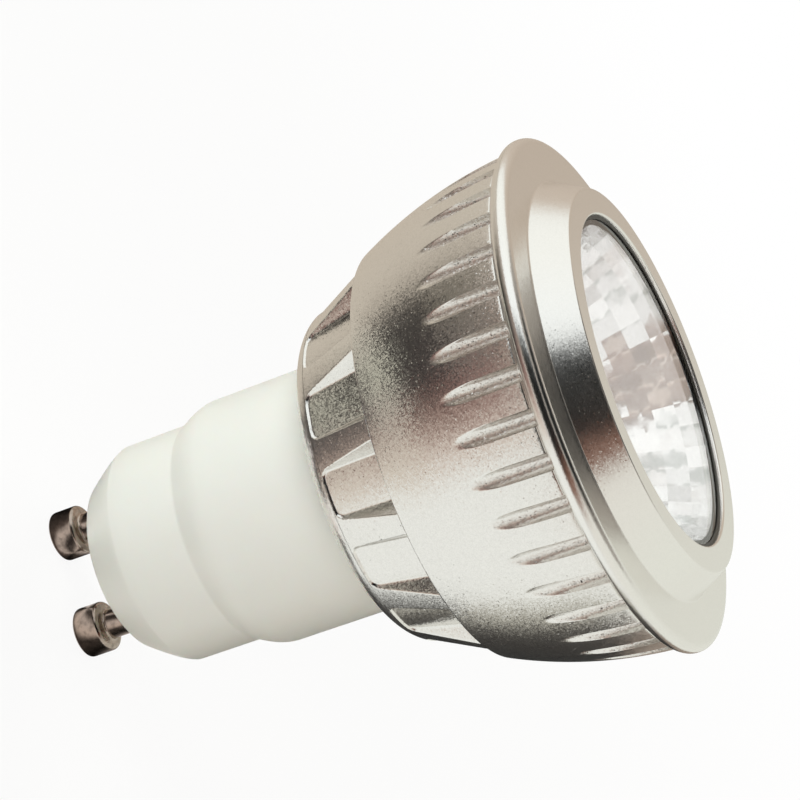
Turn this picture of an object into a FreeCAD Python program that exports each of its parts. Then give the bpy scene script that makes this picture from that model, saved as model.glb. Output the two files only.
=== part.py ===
"""A GU10 reflector spotlight bulb with a fluted metal cup, as a parametric assembly.

Units are millimetres. The axis of the bulb is Z: the beam leaves along +Z, the two contact pins
point along -Z, and z = 0 is the end face of the white base. The pins stand on the X axis.
"""
import FreeCAD, Part
import math
import os
import re
import Sketcher

Vector = FreeCAD.Vector

# Each driving size is a cell of the sheet: its name, its value in mm or degrees, what it is
SIZES = [
    ("fit_gap", 0.05, "clearance of every seat"),
    # Contact pins
    ("pin_spacing", 10.0, "between the two pin axes"),
    ("pin_head_r", 2.5, "radius of a pin's head"),
    ("pin_head_length", 2.9, "length of a pin's head"),
    ("pin_neck_r", 1.45, "radius of a pin's neck"),
    ("pin_reach", 6.85, "from the base's end face to the tip"),
    ("pin_edge", 0.4, "rounding of the head's edges"),
    ("pin_collar_r", 2.3, "radius of the collar inside the base"),
    ("pin_collar_length", 0.8, "thickness of that collar"),
    ("pin_tail_r", 0.6, "radius of the tail that takes the lead"),
    ("pin_tail_length", 1.1, "length of that tail"),
    # White base
    ("base_r", 12.3, "radius of the base at the metal body"),
    ("base_squeeze", 1.28, "the rear part's radius, less than that radius by"),
    ("base_end_share", 0.768, "end face against the rear part"),
    ("base_taper", 4.15, "length of the tapered end"),
    ("base_step", 12.85, "height of the middle of the soft step"),
    ("base_step_length", 3.6, "length of the soft step"),
    ("base_wall", 1.5, "wall of the base"),
    ("base_end_wall", 2.8, "thickness of the end face"),
    ("boss_r", 1.8, "radius of a screw boss in the base"),
    ("boss_length", 5.6, "length of a screw boss"),
    # Heat sink
    ("sink_rear", 26.65, "height of the metal body's rear face"),
    ("sink_ledge", 3.4, "width of the rear face, before its corner is rounded"),
    ("sink_flat", 1.5, "width of the flat ring left of it beside the base"),
    ("sink_length", 8.5, "from the rear face to the cup"),
    ("floor_drop", 1.5, "from the cup's rear edge down to the underside of the sink's floor"),
    ("floor_thickness", 3.0, "thickness of the floor"),
    ("tube_wall", 1.5, "wall of the sink's front tube"),
    ("pocket_count", 14.0, "pockets round the cone"),
    ("pocket_turn", -77.7, "direction of the first pocket"),
    ("pocket_length", 6.8, "from the pockets' rear end to the cup"),
    ("pocket_depth", 1.85, "depth of the pockets' floor at the cup"),
    ("pocket_rear_depth", 0.2, "depth of that floor at its rear end"),
    ("pocket_half", 2.5, "half width of that floor"),
    ("pocket_draft", 28.0, "slope of the pockets' side walls"),
    ("pocket_corner", 0.8, "rounding between floor and side wall"),
    # Fluted cup
    ("cup_length", 16.0, "from the cup's rear edge to the flange"),
    ("cup_flare", 3.85, "growth of the cup's radius along that length"),
    ("cup_ledge", 0.35, "step from the sink's cone out to the cup's rear edge"),
    ("cup_web", 1.8, "width of the cup's rear web"),
    ("cup_rim_wall", 1.95, "wall of the cup at the flange"),
    ("cup_curve", 43.0, "radius of the cup's bowed wall"),
    ("cup_floor", 3.0, "thickness of the cup's rear web"),
    ("cup_wall", 1.4, "wall of the cup at the rear web"),
    ("cup_edge", 0.35, "rounding of the rear edge"),
    ("flute_count", 38.0, "flutes round the cup"),
    ("flute_turn", -88.5, "direction of the first flute"),
    ("flute_r", 0.8, "radius of the round-nosed cutter"),
    ("flute_inset", 0.25, "from the cup's front edge in to the cutter's axis"),
    ("flute_length", 10.5, "length of the cutter's way, up to the flange"),
    # Front bezel
    ("flange_r", 25.0, "radius of the flange"),
    ("flange_thickness", 1.8, "thickness of the flange"),
    ("flange_overhang", 0.85, "from the cup's front edge out to the flange's rim"),
    ("flange_ledge", 4.55, "width of the flange's front face"),
    ("flange_round", 0.85, "rounding of the flange's rim"),
    ("neck_taper", 1.8, "loss of radius along the cone neck"),
    ("neck_height", 3.2, "from the flange's front face to the front ring"),
    ("face_edge", 0.2, "rounding of the front ring's edges"),
    ("lip_cover", 1.5, "width of the lip over the lens"),
    ("lip_thickness", 0.4, "thickness of that lip"),
    ("skirt_length", 3.0, "length of the skirt inside the cup"),
    # Lens, seal and reflector
    ("lens_inset", 0.9, "from the outside of the sink's tube in to the lens"),
    ("lens_thickness", 1.4, "thickness of the lens"),
    ("lens_edge", 0.25, "chamfer of the lens"),
    ("seal_thickness", 0.15, "thickness of the seal between the lens and the lip"),
    ("seal_show", 0.3, "width of the seal that shows inside the lip"),
    ("reflector_ledge", 1.6, "width of the reflector's rim under the lens"),
    ("reflector_throat_r", 5.5, "radius of the bowl at the emitter"),
    ("reflector_wall", 0.7, "wall of the reflector"),
    ("reflector_rim", 0.8, "thickness of the reflector's rim"),
    ("facet_count", 40.0, "facets round the bowl"),
    ("facet_rows", 8.0, "rows of facets"),
    # Light source
    ("pad_thickness", 0.3, "thickness of the thermal pad"),
    ("board_side", 17.0, "side of the square emitter board"),
    ("board_thickness", 1.0, "thickness of the emitter board"),
    ("board_corner", 1.0, "rounding of the emitter board's corners"),
    ("emitter_r", 5.0, "radius of the emitter's dam"),
    ("emitter_glow_r", 4.3, "radius of the emitter's lit field"),
    ("emitter_height", 0.6, "height of the dam"),
    ("emitter_sink", 0.2, "depth of the lit field in the dam"),
    ("board_screw_inset", 1.6, "board screws, from the board's sides"),
    # Fasteners
    ("board_screw_r", 0.8, "radius of a board screw's shank"),
    ("board_screw_length", 3.4, "length of a board screw's shank"),
    ("base_screw_r", 1.0, "radius of a base screw's shank"),
    ("base_screw_length", 8.0, "length of a base screw's shank"),
    ("screw_head_share", 1.7, "screw head against its shank"),
    ("screw_head_height", 1.1, "height of a screw's head"),
    ("screw_slot", 0.5, "width of a screw's cross slots"),
    # Driver
    ("driver_rear", 6.6, "height of the driver board's rear edge"),
    ("driver_length", 23.0, "length of the driver board"),
    ("driver_thickness", 1.0, "thickness of the driver board"),
    ("driver_gap", 0.3, "between the driver board's edges and the base"),
    ("bulk_r", 4.0, "radius of the input capacitor"),
    ("bulk_length", 11.0, "length of the input capacitor"),
    ("bulk_rear", 16.6, "height of the input capacitor's rear end"),
    ("output_r", 2.5, "radius of the output capacitor"),
    ("output_length", 7.0, "length of the output capacitor"),
    ("output_rear", 7.6, "height of the output capacitor's rear end"),
    ("output_side", 4.0, "output capacitor, from the axis along -X"),
    ("can_crimp", 0.35, "depth of a capacitor's crimped groove"),
    ("can_edge", 0.4, "rounding of a capacitor's ends"),
    ("coil_r", 4.2, "radius of the inductor's end plates"),
    ("coil_core_r", 3.3, "radius of the inductor's winding"),
    ("coil_length", 6.0, "height of the inductor"),
    ("coil_plate", 0.9, "thickness of the inductor's end plates"),
    ("coil_height", 21.5, "height of the inductor's axis"),
    ("bridge_width", 4.6, "width of the rectifier"),
    ("bridge_depth", 2.4, "depth of the rectifier"),
    ("bridge_length", 5.6, "length of the rectifier"),
    ("bridge_rear", 10.6, "height of the rectifier's rear face"),
    ("bridge_side", 5.2, "rectifier's centre, along -X"),
    ("film_width", 5.4, "width of the film capacitor"),
    ("film_depth", 3.2, "depth of the film capacitor"),
    ("film_length", 5.2, "length of the film capacitor"),
    ("film_rear", 9.0, "height of the film capacitor's rear face"),
    ("film_side", 0.6, "film capacitor's centre, along +X"),
    ("chip_width", 4.0, "width of the driver chip"),
    ("chip_depth", 1.5, "depth of the driver chip"),
    ("chip_length", 4.9, "length of the driver chip"),
    ("chip_rear", 8.8, "height of the driver chip's rear face"),
    ("chip_side", 2.2, "driver chip's centre, along +X"),
    ("case_edge", 0.3, "rounding of the moulded cases"),
    ("fuse_r", 1.1, "radius of the fusible resistor"),
    ("fuse_length", 5.0, "length of the fusible resistor"),
    ("fuse_waist", 0.2, "depth of the resistor's waist"),
    ("fuse_rear", 14.6, "height of the resistor's rear end"),
    ("fuse_side", 6.3, "resistor's axis, along +X"),
    # Leads
    ("lead_r", 0.45, "radius of a lead"),
    ("lead_bend", 1.5, "radius of a mains lead's bends"),
    ("lead_run", 3.0, "straight run of a mains lead on the driver board"),
    ("led_lead_side", 7.5, "lead of the emitter, from the axis along X"),
    ("led_lead_rear", 24.0, "height at which it leaves the driver board"),
    ("led_lead_end", 0.5, "its length above the emitter board"),
    ("lead_hole_r", 0.75, "radius of the holes that the leads pass"),
]

# Sizes that follow from the driving ones: the name, the formula, what it is
FOLLOWING = [
    ("base_narrow_r", "base_r - base_squeeze", "radius of the base's rear part"),
    ("cup_rear", "sink_rear + sink_length", "height of the cup's rear edge"),
    ("flange_rear", "cup_rear + cup_length", "height of the flange's rear face"),
    ("flange_front", "flange_rear + flange_thickness", "height of the flange's front face"),
    ("face_height", "flange_front + neck_height", "height of the front ring"),
    ("tube_end", "face_height - lip_thickness - seal_thickness - lens_thickness - reflector_rim",
     "height of the tube's front end, on which reflector, lens and seal are stacked"),
    ("floor_height", "cup_rear - floor_drop", "height of the underside of the sink's floor"),
    ("pocket_rear", "cup_rear - pocket_length", "height of the pockets' rear end"),
    ("flute_start", "flange_rear - flute_length", "height at which the flutes' cutter starts"),
    ("cup_front_r", "flange_r - flange_overhang", "radius of the cup at the flange"),
    ("cup_rear_r", "cup_front_r - cup_flare", "radius of the cup's rear edge"),
    ("skirt_r", "cup_front_r - cup_rim_wall", "radius of the bezel's skirt"),
    ("flute_axis_r", "cup_front_r - flute_inset", "from the bulb's axis to the cutter's axis"),
    ("neck_r", "flange_r - flange_ledge", "radius of the cone neck at the flange"),
    ("face_r", "neck_r - neck_taper", "outer radius of the front ring"),
    ("sink_rear_r", "base_r + sink_ledge", "radius of the sink's rear corner, before rounding"),
    ("sink_cone_r", "cup_rear_r - cup_ledge", "radius of the sink's cone at the cup"),
    ("sink_slope", "atan(sink_length / (sink_cone_r - sink_rear_r))", "slope of that cone"),
    ("sink_round", "(sink_ledge - fit_gap - sink_flat) / tan(sink_slope / 2)",
     "rounding of the rear shoulder"),
    ("pocket_floor_r", "sink_cone_r - pocket_depth", "radius of the pockets' floor at the cup"),
    ("pocket_rear_r", "sink_cone_r - pocket_length / tan(sink_slope) - pocket_rear_depth",
     "radius of that floor at its rear end"),
    ("pocket_rear_half", "pocket_half * pocket_rear_r / pocket_floor_r", "its half width there"),
    ("tube_r", "cup_rear_r - cup_web", "outer radius of the sink's front tube"),
    ("tube_bore_r", "tube_r - tube_wall", "inner radius of that tube"),
    ("lens_r", "tube_r - lens_inset", "radius of the lens"),
    ("opening_r", "lens_r - lip_cover", "radius of the light opening"),
    ("seal_inner_r", "opening_r - seal_show", "inner radius of the seal"),
    ("reflector_rim_r", "lens_r - reflector_ledge", "radius of the bowl at its mouth"),
    ("board_screw_place", "board_side / 2 - board_screw_inset", "board screws, along X and Y"),
    ("base_screw_place", "board_side / 2 + base_screw_r * screw_head_share",
     "base screws, from the axis along Y"),
]

# Heights and radii that the pieces share
FLOOR_TOP = "(floor_height + floor_thickness)"
PAD_TOP = f"({FLOOR_TOP} + pad_thickness)"
BOARD_TOP = f"({PAD_TOP} + board_thickness)"
REFLECTOR_REAR = f"({BOARD_TOP} + 2 * fit_gap)"
REFLECTOR_TOP = "(tube_end + reflector_rim)"
LENS_TOP = f"({REFLECTOR_TOP} + lens_thickness)"
LIP_UNDERSIDE = "(face_height - lip_thickness)"
BASE_BORE_R = "(base_narrow_r - base_wall)"
BASE_FRONT = "(floor_height - fit_gap)"
PIN_SIDE = "(pin_spacing / 2)"
PIN_TAIL_END = "(base_end_wall + pin_collar_length + pin_tail_length)"
DRIVER_FACE = "(driver_thickness / 2)"
LEAD_FACE = f"({DRIVER_FACE} + lead_r)"

doc = FreeCAD.newDocument("gu10_spotlight")
dims = doc.addObject("Spreadsheet::Sheet", "dims")
nodes = []


def fill_sheet():
    """Write every size into the sheet, with its name as the cell's alias."""
    for row, (name, value, meaning) in enumerate(SIZES + FOLLOWING, start=1):
        dims.set(f"A{row}", name)
        dims.set(f"B{row}", f"={value}")
        dims.setAlias(f"B{row}", name)
        dims.set(f"C{row}", meaning)
    doc.recompute()


def size(expression):
    """The present value of an expression on the sheet's sizes."""
    return float(dims.evalExpression(expression))


def bound(expression):
    """The same expression, as an object other than the sheet has to write it."""
    return re.sub(r"\b[a-z_]{3,}\b(?!\()", lambda word: "dims." + word.group(0), expression)


def bind(item, **expressions):
    """Tie properties of an object to expressions on the sheet's sizes."""
    for name, expression in expressions.items():
        item.setExpression(name, bound(expression))


def place(item, x="0", y="0", z="0", axis=None, angle=0.0):
    """Put an object at a place given by expressions, turned about an axis where one is given."""
    rotation = FreeCAD.Rotation(axis, angle) if axis else FreeCAD.Rotation()
    item.Placement = FreeCAD.Placement(Vector(size(x), size(y), size(z)), rotation)
    for letter, expression in (("x", x), ("y", y), ("z", z)):
        item.setExpression(f"Placement.Base.{letter}", bound(expression))


def as_node(item, label):
    """Count an object among the pieces that are written out."""
    item.Label = label
    nodes.append(item)
    return item


def new_body(name):
    return doc.addObject("PartDesign::Body", name)


def new_sketch(body, role, height="0", turn="0"):
    """An empty sketch on one of the body's own origin planes, raised and turned on it."""
    sketch = body.newObject("Sketcher::SketchObject", "sketch")
    plane = next(item for item in body.Origin.OriginFeatures if item.Role == role)
    sketch.AttachmentSupport = (plane, [""])
    sketch.MapMode = "FlatFace"
    turned = FreeCAD.Rotation(Vector(0, 0, 1), size(turn))
    sketch.AttachmentOffset = FreeCAD.Placement(Vector(0, 0, size(height)), turned)
    sketch.setExpression("AttachmentOffset.Base.z", bound(height))
    return sketch


def arc_between(start, end, radius):
    """A short arc between two points: on the right of the way for a positive radius."""
    middle = (start + end) / 2
    way = end - start
    right = Vector(way.y, -way.x, 0).normalize()
    rise = abs(radius) - math.sqrt(max(radius * radius - way.Length ** 2 / 4, 0.0))
    return Part.Arc(start, middle + right * math.copysign(rise, radius), end)


def outline(sketch, corners, arcs=None):
    """A closed outline through corners, each a pair of expressions tied to the sheet.

    arcs gives, by the number of its first corner, each side that is an arc: the expression of its
    radius and 1 if it bows to the right of the way along the outline, or -1 if to the left.
    """
    arcs = arcs or {}
    points = [Vector(size(x), size(y), 0) for x, y in corners]
    ends = []
    for index, start in enumerate(points):
        end = points[(index + 1) % len(points)]
        if index in arcs:
            radius, bow = arcs[index]
            curve = arc_between(start, end, bow * size(radius))
            side = sketch.addGeometry(curve, False)
            sketch.addConstraint(Sketcher.Constraint("Radius", side, size(radius)))
            sketch.setExpression(f"Constraints[{sketch.ConstraintCount - 1}]", bound(radius))
            # A sketch keeps an arc counter-clockwise, whichever way it was drawn
            first = sketch.getPoint(side, 1)
            starts_here = first.distanceToPoint(start) < first.distanceToPoint(end)
            ends.append((side, 1, 2) if starts_here else (side, 2, 1))
        else:
            ends.append((sketch.addGeometry(Part.LineSegment(start, end), False), 1, 2))
    for index, (side, _, last) in enumerate(ends):
        following, following_first, _ = ends[(index + 1) % len(ends)]
        sketch.addConstraint(
            Sketcher.Constraint("Coincident", side, last, following, following_first))
    for (side, first, _), point, corner in zip(ends, points, corners):
        for kind, value, expression in (("DistanceX", point.x, corner[0]),
                                        ("DistanceY", point.y, corner[1])):
            sketch.addConstraint(Sketcher.Constraint(kind, -1, 1, side, first, value))
            sketch.setExpression(f"Constraints[{sketch.ConstraintCount - 1}]", bound(expression))


def circles(sketch, centres):
    """Full circles, each given by the expressions of its x, y and radius."""
    for x, y, radius in centres:
        shape = Part.Circle(Vector(size(x), size(y), 0), Vector(0, 0, 1), size(radius))
        ring = sketch.addGeometry(shape, False)
        for kind, place_of in (("DistanceX", x), ("DistanceY", y)):
            sketch.addConstraint(Sketcher.Constraint(kind, -1, 1, ring, 3, size(place_of)))
            sketch.setExpression(f"Constraints[{sketch.ConstraintCount - 1}]", bound(place_of))
        sketch.addConstraint(Sketcher.Constraint("Radius", ring, size(radius)))
        sketch.setExpression(f"Constraints[{sketch.ConstraintCount - 1}]", bound(radius))


def turned(body, corners, arcs=None):
    """A solid of revolution about Z from an outline in the XZ plane."""
    sketch = new_sketch(body, "XZ_Plane")
    outline(sketch, corners, arcs)
    feature = body.newObject("PartDesign::Revolution", "revolution")
    feature.Profile = sketch
    feature.ReferenceAxis = (sketch, ["V_Axis"])
    feature.Angle = 360
    doc.recompute()
    return feature


def padded(body, sketch, length):
    feature = body.newObject("PartDesign::Pad", "pad")
    feature.Profile = sketch
    bind(feature, Length=length)
    doc.recompute()
    return feature


def cut_away(body, feature, volume_before):
    """Stop where a cut has taken nothing away."""
    doc.recompute()
    if body.Shape.Volume >= volume_before - 1e-6:
        raise RuntimeError(f"{body.Label}: {feature.Name} cuts nothing")


def pocketed(body, sketch, length, upwards=True):
    """Cut a sketch's outline out of the body over a length, along the sketch's normal or against it."""
    volume_before = body.Shape.Volume
    feature = body.newObject("PartDesign::Pocket", "pocket")
    feature.Profile = sketch
    feature.Reversed = upwards
    bind(feature, Length=length)
    cut_away(body, feature, volume_before)
    return feature


def repeated(body, feature, count):
    """Repeat a feature evenly round the Z axis."""
    volume_before = body.Shape.Volume
    pattern = body.newObject("PartDesign::PolarPattern", "pattern")
    pattern.Originals = [feature]
    axis = next(item for item in body.Origin.OriginFeatures if item.Role == "Z_Axis")
    pattern.Axis = (axis, [""])
    pattern.Angle = 360
    bind(pattern, Occurrences=count)
    body.Tip = pattern
    cut_away(body, pattern, volume_before)
    return pattern


def round_edges(body, radius, places):
    """Round the full circular edges at the given places, each a radius and a height on the axis."""
    base = body.Tip
    wanted = [(size(edge_radius), size(height)) for edge_radius, height in places]
    names = []
    for number, edge in enumerate(base.Shape.Edges, start=1):
        if not isinstance(edge.Curve, Part.Circle):
            continue
        ring = (edge.Curve.Radius, edge.Curve.Center.z)
        if any(math.dist(ring, target) < 1e-4 for target in wanted):
            names.append(f"Edge{number}")
    feature = body.newObject("PartDesign::Fillet", "fillet")
    feature.Base = (base, names)
    bind(feature, Radius=radius)
    doc.recompute()
    return feature


def moulded_box(name, width, depth, length, edge):
    """A box centred on X and Y, standing on z = 0, with its long edges rounded."""
    body = new_body(name)
    sketch = new_sketch(body, "XY_Plane")
    half_x, half_y = f"({width}) / 2", f"({depth}) / 2"
    in_x, in_y = f"{half_x} - {edge}", f"{half_y} - {edge}"
    corners = [(in_x, f"-({half_y})"), (half_x, f"-({in_y})"), (half_x, in_y), (in_x, half_y),
               (f"-({in_x})", half_y), (f"-({half_x})", in_y),
               (f"-({half_x})", f"-({in_y})"), (f"-({in_x})", f"-({half_y})")]
    outline(sketch, corners, {side: (edge, 1) for side in (0, 2, 4, 6)})
    padded(body, sketch, length)
    return body


def cylinder(name, radius, height):
    item = doc.addObject("Part::Cylinder", name)
    bind(item, Radius=radius, Height=height)
    return item


def boolean(kind, name, base, tool):
    item = doc.addObject(kind, name)
    item.Base = base
    item.Tool = tool
    return item


def make_pins():
    """Two turned contact pins: a button head, a neck through the base and a collar behind it."""
    head_top = "pin_head_length - pin_reach"
    collar_top = "base_end_wall + pin_collar_length"
    for label, side in (("contact_pin_a", PIN_SIDE), ("contact_pin_b", f"-{PIN_SIDE}")):
        body = new_body(label)
        turned(body, [("0", "-pin_reach"), ("pin_head_r", "-pin_reach"), ("pin_head_r", head_top),
                      ("pin_neck_r", head_top), ("pin_neck_r", "base_end_wall"),
                      ("pin_collar_r", "base_end_wall"), ("pin_collar_r", collar_top),
                      ("pin_tail_r", collar_top), ("pin_tail_r", PIN_TAIL_END),
                      ("0", PIN_TAIL_END)])
        round_edges(body, "pin_edge", [("pin_head_r", "-pin_reach"), ("pin_head_r", head_top)])
        place(body, x=side)
        as_node(body, label)


def base_sections():
    """Heights and radii of the base's sections, from the end face forward."""
    sections = []
    taper_steps = 6
    for step in range(taper_steps + 1):
        share = step / taper_steps
        # The tapered end is a straight slope that rounds into the rear part
        grown = 1 - (1 - share) ** 1.2
        scale = f"(base_end_share + (1 - base_end_share) * {grown:.4f})"
        sections.append((f"base_taper * {share:.4f}", f"base_narrow_r * {scale}"))
    swell_steps = 8
    for step in range(swell_steps + 1):
        share = step / swell_steps
        # The soft step leaves the rear part at a crease and rounds into the front part
        swollen = math.sin(math.pi / 2 * share)
        sections.append((f"base_step + base_step_length * {share - 0.5:.4f}",
                         f"base_narrow_r + base_squeeze * {swollen:.4f}"))
    sections.append((BASE_FRONT, "base_r"))
    return sections


def make_base():
    """The white base: a tapered end, a soft step up to the metal body, hollow, with two bosses."""
    rings = []
    for height, radius in base_sections():
        ring = doc.addObject("Part::Circle", "base_section")
        bind(ring, Radius=radius)
        place(ring, z=height)
        rings.append(ring)
    blank = doc.addObject("Part::Loft", "base_blank")
    blank.Sections = rings
    blank.Solid = True
    blank.Ruled = True
    doc.recompute()

    rear_bore = cylinder("base_rear_bore", BASE_BORE_R, f"{BASE_FRONT} - base_end_wall")
    place(rear_bore, z="base_end_wall")
    front_bore = cylinder("base_front_bore", "base_r - base_wall",
                          f"{BASE_FRONT} - base_step - base_step_length / 2")
    place(front_bore, z="base_step + base_step_length / 2")
    cavity = boolean("Part::Fuse", "base_cavity", rear_bore, front_bore)
    shell = boolean("Part::Cut", "base_shell", blank, cavity)

    web = "(base_r - base_wall / 2 - base_screw_place)"
    for label, side, web_side in (("base_boss_front", "base_screw_place", "base_screw_place"),
                                  ("base_boss_rear", "-base_screw_place", f"-base_screw_place - {web}")):
        post = cylinder(label + "_post", "boss_r", "boss_length")
        place(post, y=side, z=f"{BASE_FRONT} - boss_length")
        # A web ties the post to the wall, however far apart they are
        rib = doc.addObject("Part::Box", label + "_rib")
        bind(rib, Length="boss_r", Width=web, Height="boss_length")
        place(rib, "-boss_r / 2", web_side, f"{BASE_FRONT} - boss_length")
        boss = boolean("Part::Fuse", label, post, rib)
        inside = cylinder(label + "_limit", "base_r - base_wall / 2", BASE_FRONT)
        trimmed = boolean("Part::Common", label + "_trimmed", boss, inside)
        shell = boolean("Part::Fuse", label + "_joined", shell, trimmed)
        hole = cylinder(label + "_hole", "base_screw_r", "boss_length")
        place(hole, y=side, z=f"{BASE_FRONT} - boss_length")
        shell = boolean("Part::Cut", label + "_drilled", shell, hole)
    for label, side in (("pin_hole_a", PIN_SIDE), ("pin_hole_b", f"-{PIN_SIDE}")):
        hole = cylinder(label, "pin_neck_r + fit_gap", "3 * base_end_wall")
        place(hole, x=side, z="-base_end_wall")
        shell = boolean("Part::Cut", label + "_cut", shell, hole)
    as_node(shell, "base_housing")


def make_heat_sink():
    """The cast core: shoulder and cone with pockets, a bore for the base, a floor and a front tube."""
    body = new_body("heat_sink")
    turned(body, [("base_r + fit_gap", "sink_rear"), ("sink_rear_r", "sink_rear"),
                  ("sink_cone_r", "cup_rear"), ("tube_r", "cup_rear"), ("tube_r", "tube_end"),
                  ("tube_bore_r", "tube_end"), ("tube_bore_r", FLOOR_TOP), ("0", FLOOR_TOP),
                  ("0", "floor_height"), ("base_r + fit_gap", "floor_height")])
    round_edges(body, "sink_round", [("sink_rear_r", "sink_rear")])

    sketch = new_sketch(body, "XY_Plane", "floor_height")
    circles(sketch, [("led_lead_side", LEAD_FACE, "lead_hole_r"),
                     ("-led_lead_side", LEAD_FACE, "lead_hole_r"),
                     ("0", "base_screw_place", "base_screw_r + fit_gap"),
                     ("0", "-base_screw_place", "base_screw_r + fit_gap"),
                     ("board_screw_place", "board_screw_place", "board_screw_r + fit_gap"),
                     ("-board_screw_place", "-board_screw_place", "board_screw_r + fit_gap")])
    pocketed(body, sketch, "floor_thickness")

    # One pocket: a loft between two sections, so that its floor rises with the cone
    sections = [pocket_section(body, "pocket_rear", "pocket_rear_r", "pocket_rear_half"),
                pocket_section(body, "cup_rear", "pocket_floor_r", "pocket_half")]
    volume_before = body.Shape.Volume
    pocket = body.newObject("PartDesign::SubtractiveLoft", "pocket")
    pocket.Profile = sections[0]
    pocket.Sections = sections[1:]
    pocket.Ruled = True
    cut_away(body, pocket, volume_before)
    repeated(body, pocket, "pocket_count")
    as_node(body, "heat_sink")


def pocket_section(body, height, floor, half):
    """A pocket across the axis: a flat floor with rounded corners, and walls that open outwards."""
    setback = "pocket_corner / tan(45 + pocket_draft / 2)"
    mouth = "sink_cone_r + 1"
    spread = f"({half} + ({mouth} - {floor}) * tan(pocket_draft))"
    low, high = f"{half} - {setback}", f"{half} + {setback} * sin(pocket_draft)"
    wall = f"{floor} + {setback} * cos(pocket_draft)"
    sketch = new_sketch(body, "XY_Plane", height, "pocket_turn")
    outline(sketch, [(mouth, f"-{spread}"), (mouth, spread), (wall, high), (floor, low),
                     (floor, f"-({low})"), (wall, f"-({high})")],
            {2: ("pocket_corner", -1), 4: ("pocket_corner", -1)})
    return sketch


def make_cup():
    """The outer cup: a bowed wall with round-nosed flutes that run out towards the rear."""
    body = new_body("fluted_cup")
    web_top = "cup_rear + cup_floor"
    slope = "(cup_front_r - cup_rear_r) / (flange_rear - cup_rear)"
    skirt_rear = "flange_rear - skirt_length - 4 * fit_gap"
    turned(body, [("tube_r + fit_gap", "cup_rear"), ("cup_rear_r", "cup_rear"),
                  ("cup_front_r", "flange_rear"), ("skirt_r + fit_gap", "flange_rear"),
                  ("skirt_r + fit_gap", skirt_rear),
                  (f"cup_rear_r + cup_floor * {slope} - cup_wall", web_top),
                  ("tube_r + fit_gap", web_top)], {1: ("cup_curve", 1)})
    round_edges(body, "cup_edge", [("cup_rear_r", "cup_rear")])
    sketch = new_sketch(body, "XY_Plane", "flute_start", "flute_turn")
    circles(sketch, [("flute_axis_r", "0", "flute_r")])
    flute = pocketed(body, sketch, "flange_rear - flute_start")
    repeated(body, flute, "flute_count")
    as_node(body, "fluted_cup")


def make_bezel():
    """The front bezel: a round-rimmed flange, a cone neck and a lip over the lens."""
    body = new_body("front_bezel")
    skirt_rear = "flange_rear - skirt_length"
    turned(body, [("tube_r + fit_gap", skirt_rear), ("skirt_r", skirt_rear),
                  ("skirt_r", "flange_rear"), ("flange_r", "flange_rear"),
                  ("flange_r", "flange_front"), ("neck_r", "flange_front"),
                  ("face_r", "face_height"), ("opening_r", "face_height"),
                  ("opening_r", LIP_UNDERSIDE), ("lens_r + fit_gap", LIP_UNDERSIDE),
                  ("lens_r + fit_gap", "tube_end"), ("tube_r + fit_gap", "tube_end")])
    round_edges(body, "flange_round", [("flange_r", "flange_rear"), ("flange_r", "flange_front")])
    round_edges(body, "face_edge", [("face_r", "face_height"), ("opening_r", "face_height")])
    as_node(body, "front_bezel")


def make_lens():
    """The clear front lens and the dark seal that the lip presses on it."""
    lens = new_body("front_lens")
    turned(lens, [("0", REFLECTOR_TOP), ("lens_r - lens_edge", REFLECTOR_TOP),
                  ("lens_r", f"{REFLECTOR_TOP} + lens_edge"), ("lens_r", f"{LENS_TOP} - lens_edge"),
                  ("lens_r - lens_edge", LENS_TOP), ("0", LENS_TOP)])
    as_node(lens, "front_lens")

    seal = new_body("lens_seal")
    turned(seal, [("seal_inner_r", LENS_TOP), ("lens_r", LENS_TOP), ("lens_r", LIP_UNDERSIDE),
                  ("seal_inner_r", LIP_UNDERSIDE)])
    as_node(seal, "lens_seal")


def bowl_radius(share):
    """Radius of the reflector's bowl, a paraboloid, at a share of its height."""
    return f"sqrt(reflector_throat_r^2 + (reflector_rim_r^2 - reflector_throat_r^2) * {share:.4f})"


def bowl_height(share):
    return f"{REFLECTOR_REAR} + ({REFLECTOR_TOP} - {REFLECTOR_REAR}) * {share:.4f}"


def make_reflector():
    """The reflector: a paraboloid bowl of flat facets, as a ruled loft through regular polygons."""
    rows = round(size("facet_rows"))
    shares = [row / rows for row in range(rows + 1)]
    polygons = []
    for share in shares:
        polygon = doc.addObject("Part::RegularPolygon", "reflector_row")
        bind(polygon, Polygon="facet_count", Circumradius=bowl_radius(share))
        place(polygon, z=bowl_height(share))
        polygons.append(polygon)
    bowl = doc.addObject("Part::Loft", "reflector_bowl")
    bowl.Sections = polygons
    bowl.Solid = True
    bowl.Ruled = True

    blank = new_body("reflector_blank")
    rim_under = "tube_end"
    outer = [(f"{bowl_radius(share)} + reflector_wall", bowl_height(share)) for share in shares
             if size(bowl_height(share)) < size(f"{rim_under} - reflector_rim")]
    turned(blank, [("0", REFLECTOR_REAR)] + outer
           + [("tube_bore_r - fit_gap", f"{rim_under} - reflector_rim"),
              ("tube_bore_r - fit_gap", rim_under), ("lens_r", rim_under),
              ("lens_r", REFLECTOR_TOP), ("0", REFLECTOR_TOP)])
    as_node(boolean("Part::Cut", "reflector", blank, bowl), "reflector")


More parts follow.
